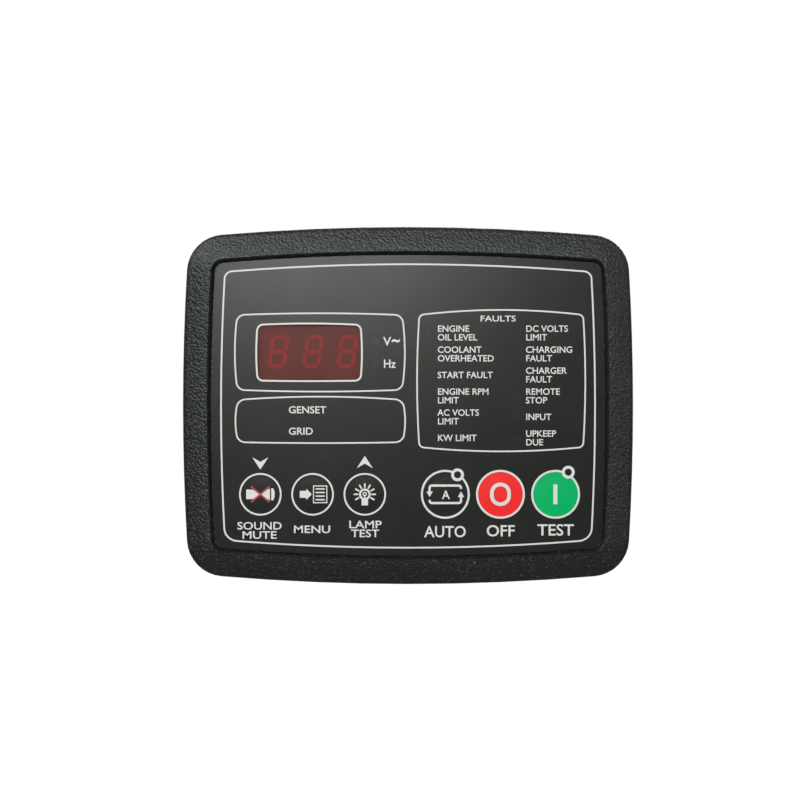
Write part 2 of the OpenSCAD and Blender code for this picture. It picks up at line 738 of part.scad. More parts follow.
// Key under the membrane: a flat head and a stem down to its switch
module key(i) color([0.75, 0.75, 0.72]) {
    rod(key_xs[i], key_row_z, key_head_r, floor_y - key_proud, key_head_back_y);
    rod(key_xs[i], key_row_z, key_stem_r, key_head_back_y - cut, button_y);
}

module mute_key() key(0);
module menu_key() key(1);
module lamp_test_key() key(2);
module auto_key() key(3);
module off_key() key(4);
module test_key() key(5);

// Button of a tact switch, pushed by the key stem
module button(i) color([0.1, 0.1, 0.1]) {
    rod(key_xs[i], key_row_z, button_r, button_y, board_y - switch_h + button_depth);
}

module mute_button() button(0);
module menu_button() button(1);
module lamp_test_button() button(2);
module auto_button() button(3);
module off_button() button(4);
module test_button() button(5);

// Tact switch bodies on the display board
module tact_switches() color([0.2, 0.2, 0.22]) for (x = key_xs) difference() {
    block(x, key_row_z, switch_w, switch_w, board_y - switch_h, board_y);
    rod(x, key_row_z, button_r + key_fit, board_y - switch_h - cut,
        board_y - switch_h + button_depth + key_travel + key_stop_gap);
}

// Circuit board outline with its four screw holes
module board(y0) difference() {
    between(y0, y0 + board_t) polygon(round_rect(board_w, board_h, board_r));
    at_posts() rod(0, 0, screw_r + screw_gap, y0 - cut, y0 + board_t + cut);
}

module display_board() color([0.05, 0.3, 0.15]) board(board_y);
module main_board() color([0.05, 0.3, 0.15]) board(main_y);

// Digit module behind the window, with a pocket for each segment
module digit_module() color([0.25, 0.24, 0.23]) difference() {
    block(window_x, window_z, module_w, module_h, module_front_y, board_y);
    segments(module_front_y - cut, module_front_y + segment_d);
}

// Cast segments of the digits
module digit_segments() color([0.6, 0.2, 0.2]) segments(module_front_y, module_front_y + segment_d);

// All segments of all digits between two planes
module segments(y0, y1) {
    for (x = digit_xs, s = [0:6])
        translate([x, 0, window_z + digit_shift_z]) between(y0, y1) polygon(segment_outline(s));
}

// Outline of one segment: three level bars, then four upright bars, all slanted
function segment_outline(s) =
    let (reach_x = (digit_w - segment_w) / 2, reach_z = (digit_h - segment_w) / 2)
    let (level = s < 3, half = (level ? reach_x : reach_z / 2) - segment_gap / 2)
    let (cx = level ? 0 : (s % 2 == 0 ? -1 : 1) * reach_x)
    let (cz = level ? (s - 1) * reach_z : (s < 5 ? -1 : 1) * reach_z / 2)
    [for (p = bar_outline(half)) slant(level ? [cx + p[0], cz + p[1]] : [cx - p[1], cz + p[0]])];

// Bar with pointed ends
function bar_outline(half) = let (t = segment_w / 2)
    [[-half, 0], [t - half, -t], [half - t, -t], [half, 0], [half - t, t], [t - half, t]];

// Point leaned over by the slant of the digits
function slant(p) = [p[0] + p[1] * tan(digit_slant), p[1]];

// Lamp with a round tip on a wider foot
module lamps(places) {
    for (p = places) translate([p[0], lamp_foot_y, p[1]]) rotate([90, 0, 0]) {
        cylinder(r = lamp_foot_r, h = lamp_foot_t);
        cylinder(r = lamp_r, h = lamp_h - lamp_r);
        translate([0, 0, lamp_h - lamp_r]) sphere(r = lamp_r);
    }
}

module fault_lamps() color([0.7, 0.1, 0.1]) lamps(fault_lamp_places);
module unit_lamps() color([0.8, 0.4, 0.1]) lamps(unit_lamp_places);
module supply_lamps() color([0.2, 0.6, 0.2]) lamps(supply_lamp_places);
module mode_lamps() color([0.2, 0.6, 0.2]) lamps(mode_lamp_places);

// Spacers that hold the lamps off the display board
module lamp_spacers() color([0.85, 0.85, 0.8]) {
    for (p = lamp_places) rod(p[0], p[1], lamp_spacer_r, lamp_foot_y, board_y);
}

// Processor on the back of the display board
module control_chip() color([0.12, 0.12, 0.12])
    block(control_chip_x, 0, control_chip_w, control_chip_w, board_back_y, board_back_y + control_chip_h);

// Metal can beside the processor
module crystal() color("silver") translate([crystal_x, 0, 0])
    between(board_back_y, board_back_y + crystal_h) polygon(round_rect(crystal_w, crystal_d, crystal_r));

// Link between the boards: a socket, a pin header and its pins
module link_socket() color([0.1, 0.1, 0.1]) difference() {
    block(link_x, link_z, link_w, link_h, board_back_y, link_seat_y);
    for (p = link_places) block(p[0], p[1], link_pin_w + 2 * link_pin_gap, link_pin_w + 2 * link_pin_gap,
        link_seat_y - link_pin_l - cut, link_seat_y + cut);
}

module link_header() color([0.1, 0.1, 0.1]) difference() {
    block(link_x, link_z, link_w, link_h, link_seat_y, main_y);
    for (p = link_places) block(p[0], p[1], link_pin_w + 2 * link_pin_gap, link_pin_w + 2 * link_pin_gap,
        link_seat_y - cut, main_y + cut);
}

module link_pins() color("gold") {
    for (p = link_places) block(p[0], p[1], link_pin_w, link_pin_w, link_seat_y - link_pin_l, main_y);
}

// Tubes that hold the boards apart, round the case screws
module board_spacers() color("silver") at_posts() difference() {
    rod(0, 0, post_r, board_back_y, main_y);
    rod(0, 0, screw_r + screw_gap, board_back_y - cut, main_y + cut);
}

// Row of relays on the rear board
module relays() color([0.1, 0.25, 0.5]) for (i = [0:relay_n - 1])
    translate([relay_x + i * relay_pitch, 0, relay_z])
        between(main_back_y, main_back_y + relay_h) polygon(round_rect(relay_w, relay_l, relay_r, 2));

// Upright capacitors with a crimped neck
module capacitors() color([0.15, 0.15, 0.2]) {
    waist_r = capacitor_r - capacitor_crimp;
    for (i = [0, 1]) translate([board_w / 2 - capacitor_inset - i * capacitor_pitch, main_back_y, relay_z])
        rotate([-90, 0, 0]) rotate_extrude() polygon([
            [0, 0], [capacitor_r, 0], [capacitor_r, capacitor_crimp_h - capacitor_crimp],
            [waist_r, capacitor_crimp_h], [capacitor_r, capacitor_crimp_h + capacitor_crimp],
            [capacitor_r, capacitor_h - capacitor_crimp], [waist_r, capacitor_h], [0, capacitor_h]
        ]);
}

// Surge discs that stand on the rear board
module surge_discs() color([0.1, 0.2, 0.6]) {
    for (i = [0:2]) translate([relay_x + i * surge_pitch, main_back_y + surge_r, small_parts_z])
        rotate([0, 90, 0]) cylinder(r = surge_r, h = surge_t, center = true);
}

// Ring choke that lies on the rear board
module choke() color([0.7, 0.4, 0.2]) translate([choke_x, main_back_y + choke_coil_r, small_parts_z])
    rotate([90, 0, 0])
    rotate_extrude() translate([choke_r - choke_coil_r, 0]) circle(choke_coil_r);

// Driver chips on the rear board
module driver_chips() color([0.12, 0.12, 0.12]) for (i = [0:2])
    block(driver_x + i * driver_pitch, small_parts_z, driver_w, driver_l,
        main_back_y, main_back_y + driver_h);

// Rear case: a box with a hump between two terminal ledges
module rear_case() color([0.15, 0.15, 0.16]) difference() {
    union() {
        difference() {
            union() {
                case_shell(case_h, seam_y, ledge_y);
                case_shell(hump_h, seam_y, case_depth);
                between(seam_y - tongue_h, seam_y + cut) polygon(round_rect(
                    inner_w - 2 * tongue_gap, inner_h - 2 * tongue_gap, inner_r));
            }
            between(seam_y - tongue_h - cut, seam_y + tongue_root + cut)
                polygon(round_rect(mouth_w, mouth_h, inner_r));
            between(seam_y + tongue_root, ledge_y - case_wall)
                polygon(round_rect(inner_w, inner_h, inner_r));
            between(seam_y + tongue_root, case_depth - case_wall)
                polygon(round_rect(inner_w, hump_h - 2 * case_wall, inner_r));
        }
        at_posts() rod(0, 0, post_r, main_back_y, ledge_y - case_wall + cut);
    }
    at_posts() rod(0, 0, screw_r + screw_gap, main_back_y - cut, ledge_y);
    at_posts() rod(0, 0, screw_head_r + screw_head_gap, screw_seat_y, ledge_y + cut);
    for (b = upper_blocks) header_opening(b, 1);
    for (b = lower_blocks) header_opening(b, -1);
    bracket_slots();
    for (s = [-1, 1], i = [0:vent_n - 1])
        block(s * case_w / 2, (i - (vent_n - 1) / 2) * vent_pitch, 4 * case_wall, vent_w,
            vent_y, vent_y + vent_l);
}

// Outer shell with bevelled rear edges
module case_shell(h, y0, y1) {
    full = round_rect(case_w, h, case_r);
    small = round_rect(case_w - 2 * case_bevel, h - 2 * case_bevel, case_r - case_bevel);
    loft([full, full, small], [y0, y1 - case_bevel, y1]);
}

// Slots in both sides of the case for the bracket tongues
module bracket_slots() {
    for (s = [-1, 1]) block(s * (case_w / 2 - case_wall / 2), 0, 2 * case_wall, strip_w + 2 * strip_gap,
        tongue_y - strip_gap, tongue_y + strip_t);
}

// Screws that clamp the case, the boards and the spacers to the posts
module case_screws() color("silver") at_posts() difference() {
    union() {
        rod(0, 0, screw_head_r, screw_seat_y, screw_seat_y + screw_head_h);
        rod(0, 0, screw_r, board_y - screw_bite, screw_seat_y + cut);
    }
    screw_slot(screw_head_r, screw_seat_y + screw_head_h);
}

// Straight slot across a screw head
module screw_slot(r, y) {
    block(0, 0, 2 * r + cut, slot_w, y - slot_d, y + cut);
}

// Centre and pole count of each block in a row, packed from left to right
function block_w(n) = n * pole_pitch + block_ends;
function row_w(poles, i) = i == 0 ? 0 : row_w(poles, i - 1) + block_w(poles[i - 1]) + block_gap;
function blocks(poles) = let (total = row_w(poles, len(poles)) - block_gap)
    [for (i = [0:len(poles) - 1]) [row_w(poles, i) + block_w(poles[i]) / 2 - total / 2, poles[i]]];

// Place of every pole in a row: across and side
function pole_places(row, side) = [for (b = row, i = [0:b[1] - 1])
    [b[0] + (i - (b[1] - 1) / 2) * pole_pitch, side]];

// Opening in the ledge for a header
module header_opening(b, side) {
    block(b[0], side * terminal_z, block_w(b[1]) + 2 * header_gap, 2 * (header_half + header_gap),
        ledge_y - case_wall - cut, ledge_y + cut);
}

// Header box on the rear board, open at the back
module header(b, side) difference() {
    block(b[0], side * terminal_z, block_w(b[1]), 2 * header_half, main_back_y, header_back_y);
    block(b[0], side * terminal_z, b[1] * pole_pitch + 2 * plug_gap, 2 * (nose_half + plug_gap),
        header_floor_y, header_back_y + cut);
    for (p = pole_places([b], side)) block(p[0], side * terminal_z,
        pin_w + 2 * pin_gap, pin_w + 2 * pin_gap, main_back_y - cut, header_floor_y + cut);
}

module upper_headers() color([0.1, 0.45, 0.2]) for (b = upper_blocks) header(b, 1);
module lower_headers() color([0.1, 0.45, 0.2]) for (b = lower_blocks) header(b, -1);

// Pins of the headers
module header_pins() color("silver") for (p = all_poles)
    block(p[0], p[1] * terminal_z, pin_w, pin_w, main_back_y, header_floor_y + pin_l);

// Plug of one block, drawn with its screws up and turned over for the lower row
module plug(b) difference() {
    translate([b[0] - b[1] * pole_pitch / 2, 0, 0]) rotate([90, 0, 90])
        linear_extrude(b[1] * pole_pitch, convexity = 6) polygon(plug_profile);
    for (p = pole_places([b], 1)) translate([p[0], 0, 0]) {
        block(0, wire_z, wire_w, wire_h, clamp_y, plug_back_y + cut);
        block(0, wire_z, clamp_w + 2 * clamp_gap, clamp_h + 2 * clamp_gap,
            clamp_back_y - clamp_l - clamp_gap, clamp_back_y + clamp_gap);
        translate([0, clamp_y, clamp_top_z])
            cylinder(r = terminal_screw_r + terminal_screw_gap, h = plug_screw_t);
        block(0, 0, pin_w + 2 * pin_gap, pin_w + 2 * pin_gap, nose_y - cut, header_floor_y + pin_l + cut);
    }
}

// Places a piece of a row: the lower row is the upper one turned half round
module in_row(side) {
    translate([0, 0, side * terminal_z]) mirror([0, 0, side < 0 ? 1 : 0]) children();
}

module upper_plugs() color([0.15, 0.55, 0.25]) for (b = upper_blocks) in_row(1) plug(b);
module lower_plugs() color([0.15, 0.55, 0.25]) for (b = lower_blocks) in_row(-1) plug(b);

// Cage of each pole that grips the wire
module wire_clamps() color("silver") for (p = all_poles) in_row(p[1]) difference() {
    block(p[0], wire_z, clamp_w, clamp_h, clamp_back_y - clamp_l, clamp_back_y);
    block(p[0], wire_z, wire_w, wire_h, clamp_back_y - clamp_l - cut, clamp_back_y + cut);
}

// Screw of each pole
module terminal_screws() color("silver") for (p = all_poles) in_row(p[1]) translate([p[0], clamp_y, 0]) {
    top = plug_screw_t - terminal_screw_sink;
    difference() {
        translate([0, 0, clamp_top_z]) cylinder(r = terminal_screw_r, h = top - clamp_top_z);
        translate([-2 * terminal_screw_r, -terminal_slot_w / 2, top - terminal_slot_d])
            cube([4 * terminal_screw_r, terminal_slot_w, terminal_slot_d + cut]);
    }
}

// Folded strip that hooks into the side of the case
module bracket() color("silver") difference() {
    translate([0, 0, -strip_w / 2]) linear_extrude(strip_w) polygon(bracket_profile);
    rod(clamp_axis_x, 0, clamp_screw_r + clamp_screw_fit, foot_y - cut, foot_y + strip_t + cut);
}

module right_bracket() bracket();
module left_bracket() mirror([1, 0, 0]) bracket();

// Screws that press on the back of the panel
module clamp_screws() color("silver") for (s = [-1, 1]) translate([s * clamp_axis_x, 0, 0]) difference() {
    union() {
        rod(0, 0, clamp_screw_r, panel_t, panel_t + clamp_screw_l + cut);
        rod(0, 0, clamp_head_r, panel_t + clamp_screw_l, panel_t + clamp_screw_l + clamp_head_h);
    }
    screw_slot(clamp_head_r, panel_t + clamp_screw_l + clamp_head_h);
}

front_frame();
membrane_face();
display_window();
panel_gasket();
mute_key();
menu_key();
lamp_test_key();
auto_key();
off_key();
test_key();
mute_button();
menu_button();
lamp_test_button();
auto_button();
off_button();
test_button();
display_board();
tact_switches();
digit_module();
digit_segments();
fault_lamps();
unit_lamps();
supply_lamps();
mode_lamps();
lamp_spacers();
control_chip();
crystal();
link_socket();
link_header();
link_pins();
board_spacers();
main_board();
relays();
capacitors();
surge_discs();
choke();
driver_chips();
rear_case();
case_screws();
upper_headers();
lower_headers();
header_pins();
upper_plugs();
lower_plugs();
wire_clamps();
terminal_screws();
left_bracket();
right_bracket();
clamp_screws();
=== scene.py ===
"""Looks of the genset controller: its finishes, its printed face and the studio around it.

Every piece is in metres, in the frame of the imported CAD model: X right, Y into the panel and Z up.
Sizes and places of the print are written in millimetres.
"""

import json
import logging
import math
from collections.abc import Callable, Iterable, Iterator
from dataclasses import dataclass, replace
from enum import Enum
from typing import Any

import bmesh
import bpy
from bmesh.types import BMEdge, BMesh, BMFace, BMVert
from mathutils import Matrix, Vector

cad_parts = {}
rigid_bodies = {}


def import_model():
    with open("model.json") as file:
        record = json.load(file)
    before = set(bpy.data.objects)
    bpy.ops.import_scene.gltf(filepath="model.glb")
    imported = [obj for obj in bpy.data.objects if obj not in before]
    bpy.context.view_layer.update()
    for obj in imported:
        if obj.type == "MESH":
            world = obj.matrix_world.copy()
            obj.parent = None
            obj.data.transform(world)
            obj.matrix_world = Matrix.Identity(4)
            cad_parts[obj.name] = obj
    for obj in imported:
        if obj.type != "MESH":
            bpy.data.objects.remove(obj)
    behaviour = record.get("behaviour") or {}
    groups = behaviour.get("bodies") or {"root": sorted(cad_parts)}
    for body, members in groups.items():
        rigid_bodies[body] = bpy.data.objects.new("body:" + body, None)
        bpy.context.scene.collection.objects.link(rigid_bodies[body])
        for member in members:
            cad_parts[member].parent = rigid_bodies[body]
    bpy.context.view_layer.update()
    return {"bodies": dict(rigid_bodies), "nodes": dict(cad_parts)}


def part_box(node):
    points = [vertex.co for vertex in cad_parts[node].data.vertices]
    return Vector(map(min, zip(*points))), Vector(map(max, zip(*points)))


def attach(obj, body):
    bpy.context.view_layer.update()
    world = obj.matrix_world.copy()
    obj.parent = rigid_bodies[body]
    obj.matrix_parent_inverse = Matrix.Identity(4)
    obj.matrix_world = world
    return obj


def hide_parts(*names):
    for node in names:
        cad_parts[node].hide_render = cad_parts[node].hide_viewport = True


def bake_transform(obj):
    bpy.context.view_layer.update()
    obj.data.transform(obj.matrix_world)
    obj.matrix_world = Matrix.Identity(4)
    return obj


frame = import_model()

log = logging.getLogger("genset_controller")

Colour = tuple[float, float, float]
Step = tuple[float, float, float]
Place = tuple[float, float]
Span = tuple[float, float]
Sides = tuple[float, float, float, float]
Names = tuple[tuple[str, ...], ...]
Settings = dict[str, Any] | None
Inputs = dict[str | int, Any] | None
Constants = dict[str, float | Colour]

MM = 0.001
UNIT_HALF = 0.5
SAME_SPOT = 1e-6
ON_PLANE = 1e-8
SHARP_ANGLE = math.radians(32)
SHEET_T = 0.5
PILLOW_H = 0.12
PILLOW_R = 6.0
INK_T = 0.03
LAMP_FOOT_R = 1.9
FACE_BACK_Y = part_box("membrane_face")[1].y / MM
FACE_Y = FACE_BACK_Y - SHEET_T
TO_FACE = Matrix.Rotation(math.pi / 2, 4, "X")


def srgb(red: int, green: int, blue: int) -> Colour:
    """Gives the linear colour of an sRGB colour that is written in steps of 0 to 255."""
    shares = (red / 255, green / 255, blue / 255)
    return tuple(c / 12.92 if c <= 0.04045 else ((c + 0.055) / 1.055) ** 2.4 for c in shares)


class Value:
    """A shader socket that takes part in Python expressions."""

    def __init__(self, graph: "Graph", socket: bpy.types.NodeSocket) -> None:
        """Wraps a socket of a graph."""
        self.graph = graph
        self.socket = socket

    def _math(self, operation: str, left: "Value | float", right: "Value | float") -> "Value":
        """Adds a Math node on two values or numbers."""
        return self.graph.value("ShaderNodeMath", 0, {"operation": operation}, {0: left, 1: right})

    def __add__(self, other: "Value | float") -> "Value":
        """Sum with a value or number."""
        return self._math("ADD", self, other)

    def __sub__(self, other: "Value | float") -> "Value":
        """Difference from a value or number."""
        return self._math("SUBTRACT", self, other)

    def __rsub__(self, other: float) -> "Value":
        """Difference of a number and this value."""
        return self._math("SUBTRACT", other, self)

    def __mul__(self, other: "Value | float") -> "Value":
        """Product with a value or number."""
        return self._math("MULTIPLY", self, other)

    def __gt__(self, limit: float) -> "Value":
        """Mask that is 1 where this value is above a limit."""
        return self._math("GREATER_THAN", self, limit)

    def highest(self, other: "Value | float") -> "Value":
        """Larger of this value and another."""
        return self._math("MAXIMUM", self, other)

    __radd__ = __add__
    __rmul__ = __mul__


class Graph:
    """Node graph of a material, of the world or of a modifier."""

    # Sockets of the Mix node for colours: the factor and the two colours, and the mixed colour.
    MIX_SOCKETS = (0, 6, 7)
    MIX_RESULT = 2

    def __init__(self, tree: bpy.types.NodeTree) -> None:
        """Starts an empty graph in a node tree."""
        self.tree = tree
        tree.nodes.clear()

    def node(self, kind: str, settings: Settings = None, inputs: Inputs = None) -> bpy.types.Node:
        """Adds a node.

        Args:
            kind: Blender's name of the node's type.
            settings: Properties of the node, set first; "stops" holds a ramp's places and colours.
            inputs: Numbers, colours or values for its sockets, by name or number.

        Returns:
            The new node.
        """
        made = self.tree.nodes.new(kind)
        for name, setting in (settings or {}).items():
            if name == "stops":
                for element, (place, colour) in zip(made.color_ramp.elements, setting):
                    element.position = place
                    element.color = (*colour, 1)
            else:
                setattr(made, name, setting)
        for name, value in (inputs or {}).items():
            self.feed(made.inputs[name], value)
        return made

    def feed(self, socket: bpy.types.NodeSocket, value: Any) -> None:
        """Links a value to a socket, or sets a constant on it.

        Args:
            socket: The input of a node.
            value: A value of this graph, a number, a colour or another setting.
        """
        if isinstance(value, Value):
            self.tree.links.new(value.socket, socket)
        elif isinstance(value, tuple) and len(value) == 3 and socket.type == "RGBA":
            socket.default_value = (*value, 1)
        else:
            socket.default_value = value

    def value(
        self, kind: str, output: str | int, settings: Settings = None, inputs: Inputs = None
    ) -> Value:
        """Adds a node and gives one of its outputs."""
        return Value(self, self.node(kind, settings, inputs).outputs[output])

    def place(self) -> Value:
        """Object coordinates of the piece."""
        return self.value("ShaderNodeTexCoord", "Object")

    def noise(self, size: float, detail: float = 2.0, stretch: Step = (1, 1, 1)) -> Value:
        """Cloudy noise.

        Args:
            size: Size of a cloud in millimetres.
            detail: Number of finer layers.
            stretch: Share of the size along each axis.

        Returns:
            The noise, from 0 to 1.
        """
        scaled = tuple(1 / share for share in stretch)
        turned = self.value("ShaderNodeMapping", "Vector", None, {"Vector": self.place(), "Scale": scaled})
        inputs = {"Vector": turned, "Scale": 1 / (size * MM), "Detail": detail}
        return self.value("ShaderNodeTexNoise", "Fac", None, inputs)

    def cells(self, size: float, smooth: float = 0.4) -> Value:
        """Distance to the middle of the nearest cell, with cells of a size in millimetres."""
        inputs = {"Vector": self.place(), "Scale": 1 / (size * MM), "Smoothness": smooth}
        return self.value("ShaderNodeTexVoronoi", "Distance", {"feature": "SMOOTH_F1"}, inputs)

    def mix(self, factor: Value, low: Colour | Value, high: Colour | Value) -> Value:
        """Mixes two colours by a factor."""
        inputs = dict(zip(self.MIX_SOCKETS, (factor, low, high)))
        return self.value("ShaderNodeMix", self.MIX_RESULT, {"data_type": "RGBA"}, inputs)

    def ramp(self, factor: Value, low: float, high: float) -> Value:
        """Rises from 0 to 1 while a factor goes from low to high."""
        settings = {"stops": [(low, (0, 0, 0)), (high, (1, 1, 1))]}
        return self.value("ShaderNodeValToRGB", "Color", settings, {"Fac": factor})

    def bump(self, height: Value, depth: float) -> Value:
        """Normal of a relief of some depth in millimetres."""
        return self.value("ShaderNodeBump", "Normal", None, {"Height": height, "Distance": depth * MM})

    def surface(self, **inputs: Any) -> None:
        """Ends a material in a Principled shader.

        Args:
            **inputs: Values of the shader's sockets, by name with an underscore for each space.
        """
        named = {name.replace("_", " "): value for name, value in inputs.items()}
        shader = self.value("ShaderNodeBsdfPrincipled", "BSDF", None, named)
        self.node("ShaderNodeOutputMaterial", None, {"Surface": shader})


@dataclass(frozen=True)
class Finish:
    """Finish of a surface, with clouds that vary its tone and its gloss.

    The tones are the shares of the colour at its darkest and at its palest, and the spread is how far the
    roughness varies. Sizes of patterns are in millimetres.
    """

    name: str
    colour: Colour
    roughness: float
    tones: Span = (0.9, 1.1)
    spread: float = 0.1
    cloud: float = 10.0

    def material(self) -> bpy.types.Material:
        """Gives the material of this finish, made at its first use.

        Returns:
            The material.
        """
        title = f"finish.{self.name}"
        made = bpy.data.materials.get(title)
        if made is None:
            made = bpy.data.materials.new(title)
            made.use_nodes = True
            self.dress(Graph(made.node_tree))
        return made

    def dress(self, graph: Graph) -> None:
        """Builds the nodes of the finish.

        Args:
            graph: The material's nodes.
        """
        clouds = graph.noise(self.cloud)
        rough = clouds * self.spread + self.roughness
        graph.surface(Base_Color=self.tone(graph, clouds), Roughness=rough, **self.constants())

    def tone(self, graph: Graph, pattern: Value) -> Value:
        """Varies the colour from its darkest to its palest tone by a pattern."""
        dark, pale = (tuple(c * share for c in self.colour) for share in self.tones)
        return graph.mix(pattern, dark, pale)

    def constants(self) -> Constants:
        """Gives the shader's sockets that are the same all over."""
        return {}


@dataclass(frozen=True)
class Ink(Finish):
    """Screen-printed ink, a little thin in places."""

    tones: Span = (0.9, 1.0)
    cloud: float = 0.5


@dataclass(frozen=True)
class Filter(Finish):
    """Tinted clear plastic in front of the digits, which lets part of what is behind show through."""

    tones: Span = (0.88, 1.12)
    spread: float = 0.08
    cloud: float = 9.0
    cover: float = 0.25
    sheen: float = 0.1

    def constants(self) -> Constants:
        """Gives the sheen, and how far the tint covers."""
        return {"Specular_IOR_Level": self.sheen, "Alpha": self.cover}


@dataclass(frozen=True)
class Resin(Finish):
    """Cast clear resin of a lamp or a segment, deeper in tone in places."""

    tones: Span = (0.8, 1.15)
    cloud: float = 1.4
    coat: float = 0.5

    def constants(self) -> Constants:
        """Gives the gloss of the cast skin."""
        return {"Coat_Weight": self.coat}


@dataclass(frozen=True)
class Grained(Finish):
    """Finish with a fine grain in its relief and its gloss, besides the clouds."""

    grain: float = 0.25
    grain_detail: float = 3.0
    stretch: Step = (1.0, 1.0, 1.0)
    depth: float = 0.008
    cloud_detail: float = 2.0
    cloud_spread: float = 0.0

    def dress(self, graph: Graph) -> None:
        """Builds grain in the relief and the gloss, and clouds in the tone.

        Args:
            graph: The material's nodes.
        """
        grain = graph.noise(self.grain, self.grain_detail, self.stretch)
        clouds = graph.noise(self.cloud, self.cloud_detail)
        rough = grain * self.spread + (self.roughness - (self.spread + self.cloud_spread) / 2)
        if self.cloud_spread:
            rough = clouds * self.cloud_spread + rough
        relief = graph.bump(grain, self.depth)
        graph.surface(
            Base_Color=self.tone(graph, clouds), Roughness=rough, Normal=relief, **self.constants()
        )


@dataclass(frozen=True)
class Moulded(Grained):
    """Moulded plastic, slightly uneven in tone."""

    tones: Span = (0.88, 1.12)
    spread: float = 0.16
    cloud: float = 18.0
    coat: float = 0.0

    def constants(self) -> Constants:
        """Gives the gloss of the moulded skin."""
        return {"Coat_Weight": self.coat}


@dataclass(frozen=True)
class Film(Grained):
    """Satin film printed from behind, with a hair-fine texture on its front."""

    tones: Span = (0.93, 1.07)
    spread: float = 0.08
    cloud: float = 14.0
    grain: float = 0.16
    grain_detail: float = 1.0
    depth: float = 0.003
    cloud_spread: float = 0.06
    sheen: float = 0.2
    tint: Colour = (0.97, 1.0, 0.95)

    def constants(self) -> Constants:
        """Gives the strength and the tint of the sheen."""
        return {"Specular_IOR_Level": self.sheen, "Specular_Tint": self.tint}


@dataclass(frozen=True)
class Metal(Grained):
    """Plated or drawn metal with fine lines and handling marks."""

    tones: Span = (0.82, 1.0)
    spread: float = 0.14
    cloud: float = 5.0
    grain: float = 0.12
    grain_detail: float = 2.0
    stretch: Step = (1.0, 14.0, 1.0)
    depth: float = 0.004
    cloud_detail: float = 3.0
    cloud_spread: float = 0.16

    def constants(self) -> Constants:
        """Makes the surface metal all over."""
        return {"Metallic": 1.0}


@dataclass(frozen=True)
class Stippled(Finish):
    """Coarse spark texture of a moulded frame, with painted glints: pale specks in its colour that stand
    in for highlights.
    """

    tones: Span = (0.85, 1.15)
    spread: float = 0.2
    cell: float = 0.85
    depth: float = 0.22
    grit_share: float = 0.7
    grit_rise: float = 0.9
    pebble_rise: float = 0.8
    # Painted glints: a pale colour, how strongly it is mixed in, and the size and span of the specks that
    # take it.
    tip: Colour = (0.2, 0.2, 0.2)
    painted_glints: float = 0.28
    glint_share: float = 1.1
    glint_span: Span = (0.6, 0.75)
    sheen: float = 0.5
    tint: Colour = (0.93, 0.99, 1.0)
    cloud: float = 22.0

    def dress(self, graph: Graph) -> None:
        """Builds pebbled cells broken up by grit, with pale specks painted into the colour as glints.

        Args:
            graph: The material's nodes.
        """
        pebbles = graph.cells(self.cell)
        grit = graph.noise(self.cell * self.grit_share, detail=3.0)
        # Painted glints: a mask of scattered specks whose colour is turned pale in place of real
        # highlights.
        painted_glints = graph.ramp(graph.noise(self.cell * self.glint_share), *self.glint_span)
        tone = self.tone(graph, graph.noise(self.cloud))
        graph.surface(
            Base_Color=graph.mix(painted_glints * self.painted_glints, tone, self.tip),
            Roughness=self.roughness - grit * self.spread + self.spread / 2,
            Specular_IOR_Level=self.sheen,
            Specular_Tint=self.tint,
            Normal=graph.bump(grit * self.grit_rise - pebbles * self.pebble_rise, self.depth),
        )


@dataclass(frozen=True)
class Laminate(Finish):
    """Glass-fibre board under solder mask, with copper tracks that show through."""

    tones: Span = (0.8, 1.5)
    spread: float = 0.06
    fibre: float = 0.5
    fibre_length: float = 6.0
    weave_rise: float = 0.2
    track: float = 1.1
    track_length: float = 16.0
    track_limits: Span = (0.56, 0.6)
    track_rise: float = 0.7
    depth: float = 0.02

    def dress(self, graph: Graph) -> None:
        """Builds the weave and the paler tracks, each level and upright.

        Args:
            graph: The material's nodes.
        """
        fibres = ((self.fibre_length, 1.0, 1.0), (1.0, 1.0, self.fibre_length))
        along, across = (graph.noise(self.fibre, detail=1.0, stretch=stretch) for stretch in fibres)
        weave = along + across
        runs = ((self.track_length, 1.0, 1.0), (1.0, 1.0, self.track_length))
        level, upright = (
            graph.noise(self.track, detail=0.0, stretch=stretch) > limit
            for stretch, limit in zip(runs, self.track_limits)
        )
        tracks = level.highest(upright)
        graph.surface(
            Base_Color=self.tone(graph, tracks),
            Roughness=weave * self.spread + self.roughness,
            Normal=graph.bump(tracks * self.track_rise + weave * self.weave_rise, self.depth),
        )


@dataclass(frozen=True)
class Foam(Finish):
    """Closed-cell foam rubber with open cells on its skin."""

    tones: Span = (0.6, 1.5)
    cell: float = 0.6
    depth: float = 0.1

    def dress(self, graph: Graph) -> None:
        """Builds small pits, with painted shade that makes them darker at their bottoms."""
        pits = graph.cells(self.cell, smooth=0.1)
        graph.surface(
            # Painted shade: the colour follows the depth of the pits, darkest at their bottoms and palest
            # at their rims.
            Base_Color=self.tone(graph, pits),
            Roughness=self.roughness - pits * self.spread,
            Normal=graph.bump(pits, self.depth),
        )


@dataclass(frozen=True)
class Winding(Finish):
    """Enamelled wire, wound side by side."""

    tones: Span = (0.45, 1.0)
    spread: float = 0.2
    wire: float = 0.7
    waver: float = 0.4
    depth: float = 0.3

    # Scale at which a straight wave of the wave texture is one unit long.
    WAVE_SCALE = 0.314

    def dress(self, graph: Graph) -> None:
        """Builds the round turns of the wire, with painted shade in the grooves between them.

        Args:
            graph: The material's nodes.
        """
        scale = self.WAVE_SCALE / (self.wire * MM)
        inputs = {"Vector": graph.place(), "Scale": scale, "Distortion": self.waver}
        turns = graph.value("ShaderNodeTexWave", "Fac", {"bands_direction": "DIAGONAL"}, inputs)
        graph.surface(
            # Painted shade: the colour darkens with the wave towards the grooves between the turns.
            Base_Color=self.tone(graph, turns),
            Metallic=1.0,
            Roughness=self.roughness + (1 - turns) * self.spread,
            Normal=graph.bump(turns, self.depth),
        )


